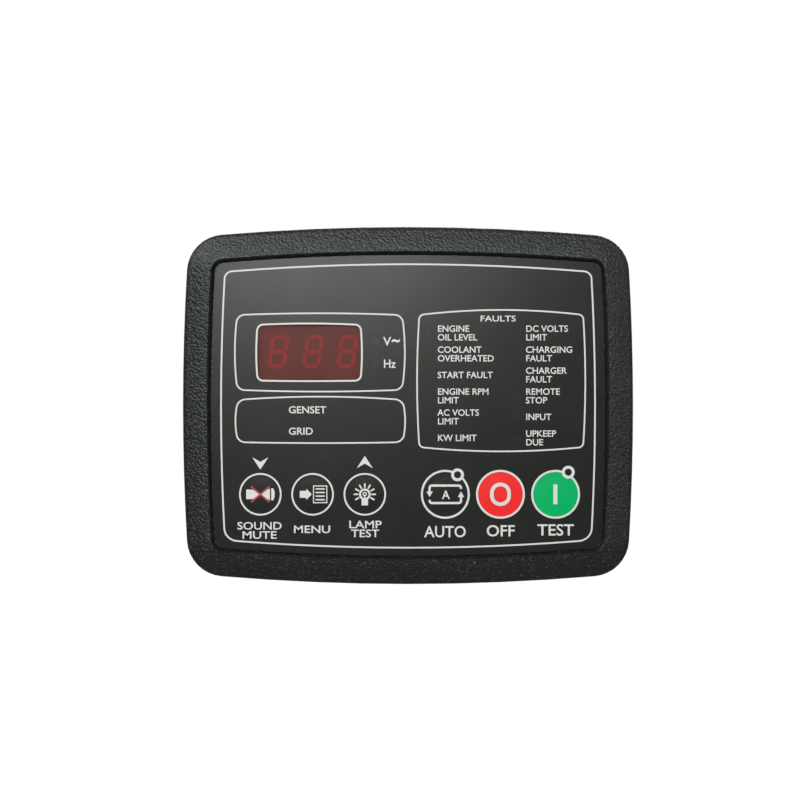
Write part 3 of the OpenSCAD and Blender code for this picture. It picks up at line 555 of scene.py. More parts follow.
class Finishes:
    """The finishes of the controller."""

    frame = Stippled("stippled_frame", srgb(20, 21, 22), 0.36)
    film = Film("dark_film", srgb(33, 35, 33), 0.26)
    spot = Film("lamp_spot_film", srgb(44, 46, 43), 0.2)
    stop_film = Film("red_film", srgb(238, 46, 45), 0.26)
    start_film = Film("green_film", srgb(0, 176, 97), 0.26)
    white_ink = Ink("white_ink", srgb(219, 221, 217), 0.5)
    red_ink = Ink("red_ink", srgb(176, 50, 62), 0.5)
    filter = Filter("red_filter", srgb(124, 42, 31), 0.2)
    gasket = Foam("foam_gasket", srgb(34, 34, 35), 0.8)
    key = Moulded("key_moulding", srgb(196, 195, 190), 0.45)
    button = Moulded("button_moulding", srgb(38, 38, 38), 0.45)
    board = Laminate("solder_mask", srgb(22, 92, 48), 0.3)
    switch = Metal("tinned_cover", srgb(190, 190, 188), 0.35)
    module = Moulded("module_face", srgb(74, 50, 42), 0.5, grain=0.3, depth=0.01)
    segment = Resin("segment_resin", srgb(178, 58, 64), 0.6, coat=0.0)
    red_lamp = Resin("red_lamp", srgb(178, 36, 34), 0.15)
    amber_lamp = Resin("amber_lamp", srgb(214, 138, 40), 0.15)
    green_lamp = Resin("green_lamp", srgb(70, 168, 74), 0.15)
    nylon = Moulded("natural_nylon", srgb(222, 220, 208), 0.4)
    chip = Moulded("chip_epoxy", srgb(42, 42, 43), 0.55, grain=0.12, depth=0.01)
    steel = Metal("zinc_plate", srgb(206, 206, 200), 0.34)
    link = Moulded("link_moulding", srgb(34, 34, 35), 0.45)
    pin = Metal("plated_pin", srgb(228, 204, 142), 0.3)
    relay = Moulded(
        "relay_moulding", srgb(44, 92, 164), 0.3, (0.92, 1.08), grain=0.4, depth=0.004, coat=0.3
    )
    sleeve = Moulded(
        "shrink_sleeve", srgb(44, 44, 60), 0.28, (0.9, 1.1), grain=0.8, depth=0.01, coat=0.4
    )
    surge = Resin("dipped_resin", srgb(44, 76, 166), 0.3)
    coil = Winding("copper_winding", srgb(206, 126, 72), 0.32)
    case = Moulded("case_moulding", srgb(48, 48, 50), 0.55, grain=0.35, depth=0.03)
    terminal = Moulded(
        "green_polyamide", srgb(52, 142, 74), 0.36, (0.92, 1.08), grain=0.2, depth=0.004, coat=0.15
    )


def enter_scene(thing: bpy.types.Object) -> bpy.types.Object:
    """Links an object to the scene."""
    bpy.context.scene.collection.objects.link(thing)
    return thing


def make_piece(name: str, bm: BMesh, finish: Finish) -> bpy.types.Object:
    """Turns a bmesh into a piece.

    Args:
        name: Name of the piece.
        bm: The shape, with its faces outwards, which is freed.
        finish: The finish of its surface.

    Returns:
        The new object, at the origin.
    """
    mesh = bpy.data.meshes.new(name)
    bm.to_mesh(mesh)
    bm.free()
    mesh.shade_smooth()
    mesh.set_sharp_from_angle(angle=SHARP_ANGLE)
    mesh.materials.append(finish.material())
    thing = enter_scene(bpy.data.objects.new(name, mesh))
    log.info("%s: %d faces, %s", name, len(mesh.polygons), finish.name)
    return thing


def add_disc(bm: BMesh, place: Matrix, radius: float, steps: int) -> BMFace:
    """Adds a flat disc to a bmesh, with its radius in millimetres."""
    made = bmesh.ops.create_circle(bm, cap_ends=True, segments=steps, radius=radius * MM, matrix=place)
    return made["verts"][0].link_faces[0]


def raise_faces(bm: BMesh, faces: list[BMFace], step: Step) -> None:
    """Extrudes faces by a step in metres, which leaves them outwards if it goes along their normals."""
    raised = bmesh.ops.extrude_face_region(bm, geom=faces)["geom"]
    bmesh.ops.translate(bm, verts=[v for v in raised if isinstance(v, BMVert)], vec=step)


def turn_outwards(bm: BMesh) -> BMesh:
    """Turns the faces of a closed shape outwards."""
    bmesh.ops.recalc_face_normals(bm, faces=bm.faces[:])
    return bm


def split(bm: BMesh, point: Vector | Step, normal: Step, clear_outer: bool = False) -> None:
    """Splits a bmesh along a plane, and clears what lies beyond it if that is asked."""
    geom = bm.verts[:] + bm.edges[:] + bm.faces[:]
    bmesh.ops.bisect_plane(
        bm, geom=geom, dist=ON_PLANE, plane_co=point, plane_no=normal, clear_outer=clear_outer
    )


def on_face(x: float, z: float) -> Vector:
    """Gives a point on the front of the membrane."""
    return Vector((x, FACE_Y, z)) * MM


def seat(x: float, z: float) -> Matrix:
    """Gives the placing of a flat shape about a point on the front of the membrane."""
    return Matrix.Translation(on_face(x, z)) @ TO_FACE


def dome(distance: float) -> float:
    """Gives the rise of a pillow at a distance from its middle, all in millimetres."""
    ball_r = (PILLOW_R**2 + PILLOW_H**2) / (2 * PILLOW_H)
    return max(0.0, math.sqrt(ball_r**2 - min(distance, PILLOW_R) ** 2) - ball_r + PILLOW_H)


@dataclass(frozen=True)
class Panel:
    """A bowed outline with round corners, in millimetres.

    The sides are given at their middles and in the order left, right, bottom, top, and the bows, by which
    a side stands out over its corners, in the same order. The lower corners may have their own radius.
    """

    sides: Sides
    radius: float
    bows: Sides = (0.0, 0.0, 0.0, 0.0)
    low_radius: float | None = None

    SIDE_BOW_R = 800.0
    TOP_BOW_R = 770.0
    BOW_PASSES = 4
    EDGE_CUTS = 11
    CORNER_STEPS = 6

    @classmethod
    def along_frame(cls, inset: float, radius: float, low_radius: float | None = None) -> "Panel":
        """Makes an outline that follows the bowed outer edge of the frame.

        Args:
            inset: Distance from the frame's edge.
            radius: Radius of the corners.
            low_radius: Radius of the lower corners where it differs.

        Returns:
            The outline.
        """
        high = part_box("front_frame")[1] / MM
        half_w, half_h = high.x - inset, high.z - inset
        bow_x = bow_z = 0.0
        # Each bow shortens the other side, so a few passes settle both.
        for _ in range(cls.BOW_PASSES):
            bow_x = (half_h - bow_z) ** 2 / (2 * (cls.SIDE_BOW_R - inset))
            bow_z = (half_w - bow_x) ** 2 / (2 * (cls.TOP_BOW_R - inset))
        return cls((-half_w, half_w, -half_h, half_h), radius, (bow_x, bow_x, bow_z, bow_z), low_radius)

    def moved(self, left: float, right: float, bottom: float, top: float) -> "Panel":
        """Gives the outline with each side moved to the right or upwards."""
        return replace(self, sides=tuple(map(sum, zip(self.sides, (left, right, bottom, top)))))

    def grown(self, by: float) -> "Panel":
        """Gives the outline moved outwards."""
        low_radius = None if self.low_radius is None else self.low_radius + by
        return replace(self.moved(-by, by, -by, by), radius=self.radius + by, low_radius=low_radius)

    def face(self, bm: BMesh) -> BMFace:
        """Draws the outline on the membrane as one flat face.

        Args:
            bm: The bmesh that takes the face.

        Returns:
            The new face.
        """
        left, right, bottom, top = self.sides
        bow_left, bow_right, bow_bottom, bow_top = self.bows
        size = Matrix.Diagonal(((right - left) * MM, (top - bottom) * MM, 1, 1))
        place = seat((left + right) / 2, (bottom + top) / 2) @ size
        made = bmesh.ops.create_grid(bm, x_segments=1, y_segments=1, size=UNIT_HALF, matrix=place)
        face = made["verts"][0].link_faces[0]
        for radius, upper in ((self.radius, True), (self.low_radius or self.radius, False)):
            corners = sorted(face.verts, key=lambda v: v.co.z, reverse=upper)[:2]
            rounded = bmesh.ops.bevel(
                bm, geom=corners, offset=radius * MM, offset_type="OFFSET", affect="VERTICES",
                segments=self.CORNER_STEPS, profile=0.5, material=-1,
            )
            face = rounded["verts"][0].link_faces[0]
        straight = sorted(face.edges, key=lambda edge: edge.calc_length())[-len(self.sides):]
        bmesh.ops.bisect_edges(bm, edges=straight, cuts=self.EDGE_CUTS)
        for vert in face.verts:
            u = (vert.co.x / MM - left) / (right - left)
            w = (vert.co.z / MM - bottom) / (top - bottom)
            vert.co.x += (bow_left * (1 - u) - bow_right * u) * (1 - 4 * w * (1 - w)) * MM
            vert.co.z += (bow_bottom * (1 - w) - bow_top * w) * (1 - 4 * u * (1 - u)) * MM
        return face


class Drawing:
    """Flat artwork on the membrane, drawn in millimetres about a middle and then raised into ink."""

    CIRCLE_STEPS = 72
    DRAPE_STEP = 1.5

    def __init__(self, middle: Place = (0.0, 0.0)) -> None:
        """Starts an empty drawing.

        Args:
            middle: Its middle on the membrane.
        """
        self.bm = bmesh.new()
        self.middle = middle
        self.origin = seat(*middle)

    def shape(self, *points: Place) -> BMFace:
        """Draws a filled shape with straight sides.

        Args:
            *points: Its corners, in turn.

        Returns:
            The new face.
        """
        x, z = self.middle
        face = self.bm.faces.new([self.bm.verts.new(on_face(x + px, z + pz)) for px, pz in points])
        face.normal_update()
        return face

    def bar(self, left: float, right: float, bottom: float, top: float) -> BMFace:
        """Draws a filled rectangle."""
        return self.shape((left, bottom), (right, bottom), (right, top), (left, top))

    def turned_bar(self, length: float, width: float, start: float, angle: float) -> None:
        """Draws a bar that points away from the middle.

        Args:
            length: Length of the bar.
            width: Width of the bar.
            start: Distance of its near end from the middle.
            angle: Its direction in degrees, from the right towards the top.
        """
        face = self.bar(start, start + length, -width / 2, width / 2)
        turn = Matrix.Rotation(math.radians(-angle), 3, "Y")
        bmesh.ops.rotate(self.bm, verts=face.verts, cent=on_face(*self.middle), matrix=turn)

    def disc(self, radius: float, x: float = 0.0, z: float = 0.0) -> BMFace:
        """Draws a filled circle."""
        place = seat(self.middle[0] + x, self.middle[1] + z)
        return add_disc(self.bm, place, radius, self.CIRCLE_STEPS)

    def ring(self, radius: float, line: float, x: float = 0.0, z: float = 0.0) -> None:
        """Draws a circle as a line inside its radius."""
        self.hollow(self.disc(radius, x, z), line)

    def hollow(self, face: BMFace, line: float) -> None:
        """Leaves only a line along the inside of a shape."""
        bmesh.ops.inset_region(
            self.bm, faces=[face], thickness=line * MM, use_even_offset=True, use_boundary=True
        )
        bmesh.ops.delete(self.bm, geom=[face], context="FACES_ONLY")

    def frame(self, panel: Panel, line: float) -> None:
        """Draws the outline of a panel, with the line's middle on the outline."""
        self.hollow(panel.grown(line / 2).face(self.bm), line)

    def box(self, half_w: float, half_h: float, radius: float, line: float) -> None:
        """Draws the outline of a box with round corners about the middle."""
        x, z = self.middle
        self.frame(Panel((x - half_w, x + half_w, z - half_h, z + half_h), radius), line)

    def cut(self, point: Place, direction: Place) -> None:
        """Splits every shape along a straight line across a direction."""
        spot = on_face(self.middle[0] + point[0], self.middle[1] + point[1])
        split(self.bm, spot, (direction[0], 0, direction[1]))

    def drop(self, left: float, right: float, bottom: float, top: float) -> None:
        """Takes away the shapes whose middles lie inside a rectangle.

        Args:
            left: Left side of the rectangle.
            right: Right side of the rectangle.
            bottom: Lower side of the rectangle.
            top: Upper side of the rectangle.
        """
        x, z = self.middle
        inside = []
        for face in self.bm.faces:
            centre = face.calc_center_median() / MM
            if left < centre.x - x < right and bottom < centre.z - z < top:
                inside.append(face)
        bmesh.ops.delete(self.bm, geom=inside, context="FACES")

    def raise_ink(self, height: float) -> None:
        """Gives the drawing its thickness towards the front."""
        raise_faces(self.bm, self.bm.faces[:], (0, -height * MM, 0))

    def drape(self, height: float) -> None:
        """Lays the drawing over the pillow about its middle.

        Args:
            height: Height of the drawing over the film.
        """
        reach = int(PILLOW_R / self.DRAPE_STEP)
        for step in range(-reach, reach + 1):
            self.cut((step * self.DRAPE_STEP, 0), (1, 0))
            self.cut((0, step * self.DRAPE_STEP), (0, 1))
        axis = on_face(*self.middle)
        for vert in self.bm.verts:
            distance = (vert.co - axis).length / MM
            vert.co.y -= (dome(distance) + height) * MM


class Align(Enum):
    """How a line of lettering sits on its place."""

    LEFT = "LEFT"
    CENTRE = "CENTER"


@dataclass(frozen=True)
class Label:
    """A line of lettering: words, place, cap height, width share, alignment and share of boldness."""

    words: str
    x: float
    z: float
    cap: float
    widen: float = 1.0
    align: Align = Align.CENTRE
    weight: float = 1.0


class Letterer:
    """Sets lines of lettering and stamps them into a bmesh."""

    BOLD = 0.012
    CURVE_STEPS = 3

    def __init__(self) -> None:
        """Makes the type and measures its capitals."""
        self.type = bpy.data.curves.new("lettering", "FONT")
        self.type.resolution_u = self.CURVE_STEPS
        self.holder = enter_scene(bpy.data.objects.new("lettering", self.type))
        capital = self.mesh(Label("H", 0.0, 0.0, 1.0))
        self.cap = max(v.co.y for v in capital.vertices)
        bpy.data.meshes.remove(capital)

    def mesh(self, label: Label) -> bpy.types.Mesh:
        """Sets the words of a label.

        Args:
            label: The line of lettering.

        Returns:
            A flat mesh of the type's own size.
        """
        self.type.body = label.words
        self.type.align_x = label.align.value
        self.type.offset = self.BOLD * label.weight
        graph = bpy.context.evaluated_depsgraph_get()
        graph.update()
        return bpy.data.meshes.new_from_object(self.holder.evaluated_get(graph))

    def stamp(self, bm: BMesh, label: Label, origin: Matrix) -> None:
        """Adds a line of lettering to a bmesh.

        Args:
            bm: The bmesh that takes the letters.
            label: The line of lettering.
            origin: The placing from which the label's place is measured.
        """
        mesh = self.mesh(label)
        scale = label.cap / self.cap * MM
        size = Matrix.Diagonal((scale * label.widen, scale, scale, 1))
        shift = Matrix.Translation(Vector((label.x, label.z - label.cap / 2, 0)) * MM)
        mesh.transform(origin @ shift @ size)
        bm.from_mesh(mesh)
        bpy.data.meshes.remove(mesh)

    def put_away(self) -> None:
        """Removes the type."""
        bpy.data.objects.remove(self.holder)
        bpy.data.curves.remove(self.type)


@dataclass(frozen=True)
class Key:
    """A key of the face: its CAD body, its printed ring, the film over it and its lamp's shift."""

    body: str
    ring_r: float
    line: float
    film: Finish = Finishes.film
    lamp: Place | None = None

    @property
    def middle(self) -> Place:
        """Gives the place of the key on the face."""
        low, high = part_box(f"{self.body}_key")
        return tuple(((low + high) / 2 / MM).xz)

    @property
    def edge_r(self) -> float:
        """Gives the radius of the pillow's own piece of film, which ends under the printed ring."""
        return self.ring_r - self.line / 2

    def follow(self, thing: bpy.types.Object) -> None:
        """Bakes the placing of a piece that lies over the pillow into its mesh."""
        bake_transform(thing)


def lamp_places(node: str, columns: int, rows: int) -> Iterator[Place]:
    """Finds the lamps of a node, which stand in a grid.

    Args:
        node: Name of the CAD node.
        columns: Number of columns.
        rows: Number of rows.

    Returns:
        The places of the lamps on the face, column by column from below.
    """
    low, high = (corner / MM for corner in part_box(node))
    for column in range(columns):
        x = low.x + LAMP_FOOT_R + column * (high.x - low.x - 2 * LAMP_FOOT_R) / max(columns - 1, 1)
        for row in range(rows):
            yield x, low.z + LAMP_FOOT_R + row * (high.z - low.z - 2 * LAMP_FOOT_R) / max(rows - 1, 1)


@dataclass
class ClampScrews:
    """The two clamp screws, each with a rolled thread and a slotted head, in millimetres."""

    node: str = "clamp_screws"
    slot: str = "plated_steel"
    shank_r: float = 1.95
    pitch: float = 0.7
    thread_depth: float = 0.42
    turn_steps: int = 32
    head_r: float = 3.5
    head_h: float = 2.6
    head_steps: int = 48
    slot_w: float = 0.8
    slot_depth: float = 1.0
    rim: float = 0.5
    rim_steps: int = 4
    rim_slack: float = 0.02

    def build(self) -> None:
        """Builds the threads and the heads."""
        low, high = (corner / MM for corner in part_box(self.node))
        axis_x = high.x - self.head_r
        neck_y = high.y - self.head_h
        for side, x in (("left", -axis_x), ("right", axis_x)):
            thread = self.thread(x, low.y, neck_y)
            head = self.head(x, neck_y)
            for name, bm in ((f"{side}_clamp_thread", thread), (f"{side}_clamp_head", head)):
                piece = make_piece(name, bm, Finishes.steel)
                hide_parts(self.node)
                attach(piece, "housing")

    def thread(self, x: float, start: float, end: float) -> BMesh:
        """Sweeps the section of one thread along a helix and cuts it off at both ends.

        Args:
            x: Place of the screw's axis.
            start: Depth of the screw's tip.
            end: Depth of the screw's neck.

        Returns:
            The shape of the thread.
        """
        bm = bmesh.new()
        core_r = self.shank_r - self.thread_depth
        section = ((core_r, 0.0), (self.shank_r, 0.4), (self.shank_r, 0.5), (core_r, 0.9), (core_r, 1.0))
        first = start - self.pitch
        verts = [bm.verts.new(Vector((x + r, first + share * self.pitch, 0)) * MM) for r, share in section]
        edges = [bm.edges.new(pair) for pair in zip(verts, verts[1:])]
        turns = math.ceil((end - first) / self.pitch) + 1
        bmesh.ops.spin(
            bm, geom=verts + edges, cent=Vector((x, 0, 0)) * MM, axis=(0, 1, 0), angle=math.tau * turns,
            dvec=(0, self.pitch / self.turn_steps * MM, 0), steps=self.turn_steps * turns,
        )
        bmesh.ops.remove_doubles(bm, verts=bm.verts[:], dist=SAME_SPOT)
        for y, side in ((start, -1), (end, 1)):
            split(bm, (0, y * MM, 0), (0, side, 0), clear_outer=True)
        bmesh.ops.holes_fill(bm, edges=bm.edges[:], sides=0)
        return turn_outwards(bm)

    def head(self, x: float, neck_y: float) -> BMesh:
        """Builds a head from its slot's floor: down to the neck, and up on both sides of the slot.

        Args:
            x: Place of the screw's axis.
            neck_y: Depth of the screw's neck.

        Returns:
            The shape of the head.
        """
        bm = bmesh.new()
        floor_y = neck_y + self.head_h - self.slot_depth
        place = Matrix.Translation(Vector((x, floor_y, 0)) * MM) @ Matrix.Rotation(-math.pi / 2, 4, "X")
        add_disc(bm, place, self.head_r, self.head_steps)
        for z in (-self.slot_w / 2, self.slot_w / 2):
            split(bm, (0, 0, z * MM), (0, 0, 1))
        cheeks = [f for f in bm.faces if abs(f.calc_center_median().z) > self.slot_w / 2 * MM]
        raise_faces(bm, bm.faces[:], (0, (neck_y - floor_y) * MM, 0))
        raise_faces(bm, cheeks, (0, self.slot_depth * MM, 0))
        # The floor under the raised sides would stay inside the head.
        bmesh.ops.delete(bm, geom=cheeks, context="FACES_ONLY")
        top = (neck_y + self.head_h) * MM
        rim = [edge for edge in bm.edges if self.on_rim(edge, x, top)]
        bmesh.ops.bevel(
            bm, geom=rim, offset=self.rim * MM, offset_type="OFFSET", affect="EDGES",
            segments=self.rim_steps, profile=0.5, material=-1,
        )
        return turn_outwards(bm)

    def on_rim(self, edge: BMEdge, x: float, top: float) -> bool:
        """Tells whether an edge lies on the outer rim of a head's top.

        Args:
            edge: The edge.
            x: Place of the screw's axis.
            top: Depth of the head's top, in metres.

        Returns:
            True for an edge of the rim.
        """
        reach = (Vector((v.co.x - x * MM, v.co.z)).length / MM for v in edge.verts)
        flat = all(abs(v.co.y - top) < SAME_SPOT for v in edge.verts)
        around = all(r > self.head_r - self.rim_slack for r in reach)
        return flat and around and abs(edge.verts[0].co.z + edge.verts[1].co.z) > self.slot_w * MM


@dataclass
class TerminalNumbers:
    """Numbers printed along the hump of the rear case, one for each pole of the terminals."""

    letterer: Letterer
    slot: str = "case_plastic"
    hump_half: float = 27.0
    inset: float = 2.0
    cap: float = 1.5
    pole_gap: float = 1.0

    def build(self) -> None:
        """Prints the numbers, counted from the left as seen from behind."""
        bm = bmesh.new()
        back_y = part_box("rear_case")[1].y
        origin = Matrix.Translation((0, back_y, 0)) @ Matrix.Rotation(math.pi, 4, "Z") @ TO_FACE
        number = 1
        for side in (1, -1):
            row_z = side * (self.hump_half - self.inset)
            for x in sorted(self.poles(side), reverse=True):
                self.letterer.stamp(bm, Label(str(number), -x, row_z, self.cap), origin)
                number += 1
        raise_faces(bm, bm.faces[:], (0, INK_T * MM, 0))
        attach(make_piece("terminal_numbers", bm, Finishes.white_ink), "housing")

    def poles(self, side: int) -> Iterator[float]:
        """Finds the poles of a row of terminals by the gaps between their screws.

        Args:
            side: 1 for the upper row, -1 for the lower one.

        Returns:
            The place of every pole, from the left as seen from the front.
        """
        verts = frame["nodes"]["terminal_screws"].data.vertices
        xs = sorted(v.co.x / MM for v in verts if v.co.z * side > 0)
        start = last = xs[0]
        for x in [*xs[1:], math.inf]:
            if x - last > self.pole_gap:
                yield (start + last) / 2
                start = x
            last = x


@dataclass
class MembraneFace:
    """The printed membrane: its sheet, its pillows and all that is printed on it."""

    letterer: Letterer
    slot: str = "membrane_film"
    outline: Panel = Panel.along_frame(9.9, 3.1)
    border: Panel = Panel.along_frame(12.65, 2.3, 4.0).moved(0.6, -0.6, 0.0, -0.3)
    border_line: float = 0.56
    display: Panel = Panel((-59.5, -1.1, 4.8, 31.7), 2.5, (0.85, 1.0, 0.6, 0.6))
    status: Panel = Panel((-59.3, -1.0, -12.9, 3.05), 2.4, (1.0, 1.0, 0.3, 1.1))
    faults: Panel = Panel((3.1, 60.9, -15.75, 32.85), 1.5, (0.8, 0.75, 1.5, 1.75))
    panel_line: float = 0.52
    window: Panel = Panel((-52.15, -15.85, 8.4, 28.2), 1.8, (0.5, 0.5, 0.2, 0.5))
    window_line: float = 0.6
    window_lip: float = 1.0
    window_r: float = 1.4
    chevron: tuple[Place, ...] = ((-2.75, 2.1), (0.0, -2.1), (2.75, 2.1), (0.0, 0.55))
    down_z: float = -19.9
    up_z: float = -19.4
    spot_r: float = 1.2
    lamp_ring_r: float = 2.2
    lamp_ring_line: float = 0.98
    fault_columns: Span = (10.1, 40.4)
    fault_top: float = 24.95
    fault_pitch: float = 7.21
    fault_cap: float = 2.15
    line_gap: float = 2.98
    fault_names: tuple[Names, Names] = (
        (
            ("ENGINE", "OIL LEVEL"), ("COOLANT", "OVERHEATED"), ("START FAULT",), ("ENGINE RPM", "LIMIT"),
            ("AC VOLTS", "LIMIT"), ("KW LIMIT",),
        ),
        (
            ("DC VOLTS", "LIMIT"), ("CHARGING", "FAULT"), ("CHARGER", "FAULT"), ("REMOTE", "STOP"),
            ("INPUT",), ("UPKEEP", "DUE"),
        ),
    )
    keys: tuple[Key, ...] = (
        Key("mute", 7.3, 0.58),
        Key("menu", 7.3, 0.58),
        Key("lamp_test", 7.3, 0.58),
        Key("auto", 8.4, 0.7, lamp=(4.2, 6.7)),
        Key("off", 8.4, 0.7, Finishes.stop_film),
        Key("test", 8.4, 0.7, Finishes.start_film, (4.35, 7.6)),
    )

    PILLOW_STEPS = 10

    def build(self) -> None:
        """Builds the sheet, the pillows and the print."""
        self.build_sheet()
        for key in self.keys:
            self.build_pillow(key)
        self.print_lines()
        self.print_words()
        self.print_spots()
        self.print_marks()

    def build_sheet(self) -> None:
        """Builds the sheet with an opening at the window and at each pillow."""
        bm = bmesh.new()
        low, high = (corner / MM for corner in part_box("display_window"))
        lip = self.window_lip
        window = Panel((low.x + lip, high.x - lip, low.z + lip, high.z - lip), self.window_r)
        faces = [self.outline.face(bm), window.face(bm)]
        for key in self.keys:
            faces.append(add_disc(bm, seat(*key.middle), key.edge_r, Drawing.CIRCLE_STEPS))
        bmesh.ops.delete(bm, geom=faces, context="FACES_ONLY")
        bmesh.ops.triangle_fill(bm, edges=bm.edges[:], use_beauty=True, normal=(0, -1, 0))
        raise_faces(bm, bm.faces[:], (0, SHEET_T * MM, 0))
        sheet = make_piece("membrane_sheet", turn_outwards(bm), Finishes.film)
        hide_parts("membrane_face")
        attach(sheet, "housing")

    def build_pillow(self, key: Key) -> None:
        """Builds the film over a key as a turned dome.

        Args:
            key: The key under the pillow.
        """
        bm = bmesh.new()
        x, z = key.middle
        radii = [PILLOW_R * i / self.PILLOW_STEPS for i in range(self.PILLOW_STEPS + 1)] + [key.edge_r]
        front = [(r, FACE_Y - dome(r)) for r in radii]
        back = [(r, FACE_BACK_Y - dome(r)) for r in reversed(radii)]
        profile = [bm.verts.new(Vector((x + r, y, z)) * MM) for r, y in front + back]
        edges = [bm.edges.new(pair) for pair in zip(profile, profile[1:])]
        bmesh.ops.spin(
            bm, geom=profile + edges, cent=on_face(x, z), axis=(0, 1, 0), angle=math.tau,
            steps=Drawing.CIRCLE_STEPS, use_merge=True,
        )
        bmesh.ops.remove_doubles(bm, verts=bm.verts[:], dist=SAME_SPOT)
        pillow = make_piece(f"{key.body}_pillow", turn_outwards(bm), key.film)
        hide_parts("membrane_face")
        key.follow(pillow)

    def print_flat(self, name: str, art: Drawing, finish: Finish, height: float = INK_T) -> None:
        """Raises a drawing into ink of some height that stays with the housing."""
        art.raise_ink(height)
        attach(make_piece(name, art.bm, finish), "housing")

    def print_lines(self) -> None:
        """Prints the border, the panels, the rings of the keys and the two chevrons."""
        art = Drawing()
        art.frame(self.border, self.border_line)
        for panel in (self.display, self.status, self.faults):
            art.frame(panel, self.panel_line)
        art.frame(self.window, self.window_line)
        for key in self.keys:
            art.ring(key.ring_r, key.line, *key.middle)
        mute, _, lamp_test, *_ = self.keys
        for key, z, turn in ((mute, self.down_z, 1), (lamp_test, self.up_z, -1)):
            art.shape(*((key.middle[0] + turn * px, z + turn * pz) for px, pz in self.chevron))
        self.print_flat("printed_lines", art, Finishes.white_ink)

    def labels(self) -> Iterator[Label]:
        """Lays out the lettering.

        Returns:
            Every line of lettering on the face.
        """
        yield Label("FAULTS", 30.9, 29.9, 1.95, 1.3)
        for x, names in zip(self.fault_columns, self.fault_names):
            for row, lines in enumerate(names):
                top = self.fault_top - row * self.fault_pitch + (len(lines) - 1) * self.line_gap / 2
                for line, words in enumerate(lines):
                    yield Label(words, x, top - line * self.line_gap, self.fault_cap, align=Align.LEFT)
        status_x, unit_x = -41.1, -8.5
        yield Label("GENSET", status_x, -1.45, 2.4, 1.05, Align.LEFT)
        yield Label("GRID", status_x, -8.8, 2.4, 1.05, Align.LEFT)
        yield Label("V", unit_x, 22.1, 2.9, 1.05, Align.LEFT)
        yield Label("~", -4.2, 22.65, 3.6, 0.9, weight=2.5)
        yield Label("Hz", unit_x, 14.4, 2.8, 0.92, Align.LEFT)
        mute, menu, lamp_test, auto, off, test = (key.middle[0] for key in self.keys)
        small, large = 2.55, 3.8
        yield Label("SOUND", mute - 0.25, -41.3, small, 1.2)
        yield Label("MUTE", mute - 0.35, -44.45, small, 1.27)
        yield Label("MENU", menu - 0.2, -42.5, small, 1.27)
        yield Label("LAMP", lamp_test + 0.1, -40.85, small, 1.27)
        yield Label("TEST", lamp_test + 0.1, -43.9, small, 1.22)
        yield Label("AUTO", auto, -43.3, large, 0.94)
        yield Label("OFF", off + 0.05, -43.0, large, 1.03)
        yield Label("TEST", test, -42.7, large, 1.06)

    def print_words(self) -> None:
        """Prints the lettering."""
        art = Drawing()
        for label in self.labels():
            self.letterer.stamp(art.bm, label, art.origin)
        self.print_flat("printed_words", art, Finishes.white_ink)

    def print_spots(self) -> None:
        """Prints the clear spots over the lamps and the rings round the two lamps beside keys."""
        spots = Drawing()
        for node, columns, rows in (("fault_lamps", 2, 6), ("unit_lamps", 1, 2), ("supply_lamps", 1, 2)):
            for x, z in lamp_places(node, columns, rows):
                spots.disc(self.spot_r, x, z)
        self.print_flat("lamp_spots", spots, Finishes.spot, INK_T / 2)
        rings, holes = Drawing(), Drawing()
        for key in self.keys:
            if key.lamp:
                x, z = key.middle[0] + key.lamp[0], key.middle[1] + key.lamp[1]
                rings.ring(self.lamp_ring_r, self.lamp_ring_line, x, z)
                holes.disc(self.lamp_ring_r - self.lamp_ring_line / 2, x, z)
        self.print_flat("mode_lamp_rings", rings, Finishes.white_ink, 2 * INK_T)
        self.print_flat("mode_lamp_spots", holes, Finishes.film, 1.5 * INK_T)

    def print_marks(self) -> None:
        """Prints the mark of each key on its pillow, and a cross over the horn."""
        drawers = (
            self.draw_horn, self.draw_list, self.draw_bulb, self.draw_loop, self.draw_ring, self.draw_bar
        )
        for key, draw in zip(self.keys, drawers):
            self.print_mark(f"{key.body}_mark", key, draw, Finishes.white_ink, INK_T)
        self.print_mark("mute_cross", self.keys[0], self.draw_cross, Finishes.red_ink, 2 * INK_T)

    def print_mark(
        self, name: str, key: Key, draw: Callable[[Drawing], None], finish: Finish, height: float
    ) -> None:
        """Prints a mark draped over the pillow of a key.

        Args:
            name: Name of the piece.
            key: The key under the mark.
            draw: The method that draws the mark.
            finish: The finish of the ink.
            height: Height of the ink over the film.
        """
        art = Drawing(key.middle)
        draw(art)
        art.drape(height)
        key.follow(make_piece(name, art.bm, finish))

    @staticmethod
    def draw_horn(art: Drawing) -> None:
        """Draws a horn: its box, its throat, its mouth and the round edge in front of it.

        Args:
            art: The drawing.
        """
        back, box, throat, mouth = -4.85, -2.8, -0.1, 3.3
        box_half, throat_half, mouth_half = 1.65, 0.45, 2.0
        art.bar(back, box, -box_half, box_half)
        art.shape((box, -box_half), (throat, -throat_half), (throat, throat_half), (box, box_half))
        art.shape((throat, -throat_half), (mouth, -mouth_half), (mouth, mouth_half), (throat, throat_half))
        art.shape((3.75, -2.1), (4.5, -2.0), (4.9, -0.9), (4.9, 0.9), (4.5, 2.0), (3.75, 2.1))

    @staticmethod
    def draw_cross(art: Drawing) -> None:
        """Draws the cross over the horn.

        Args:
            art: The drawing.
        """
        for angle in (40, 140, 220, 320):
            art.turned_bar(length=3.9, width=0.6, start=0.25, angle=angle)
        art.disc(radius=0.3)

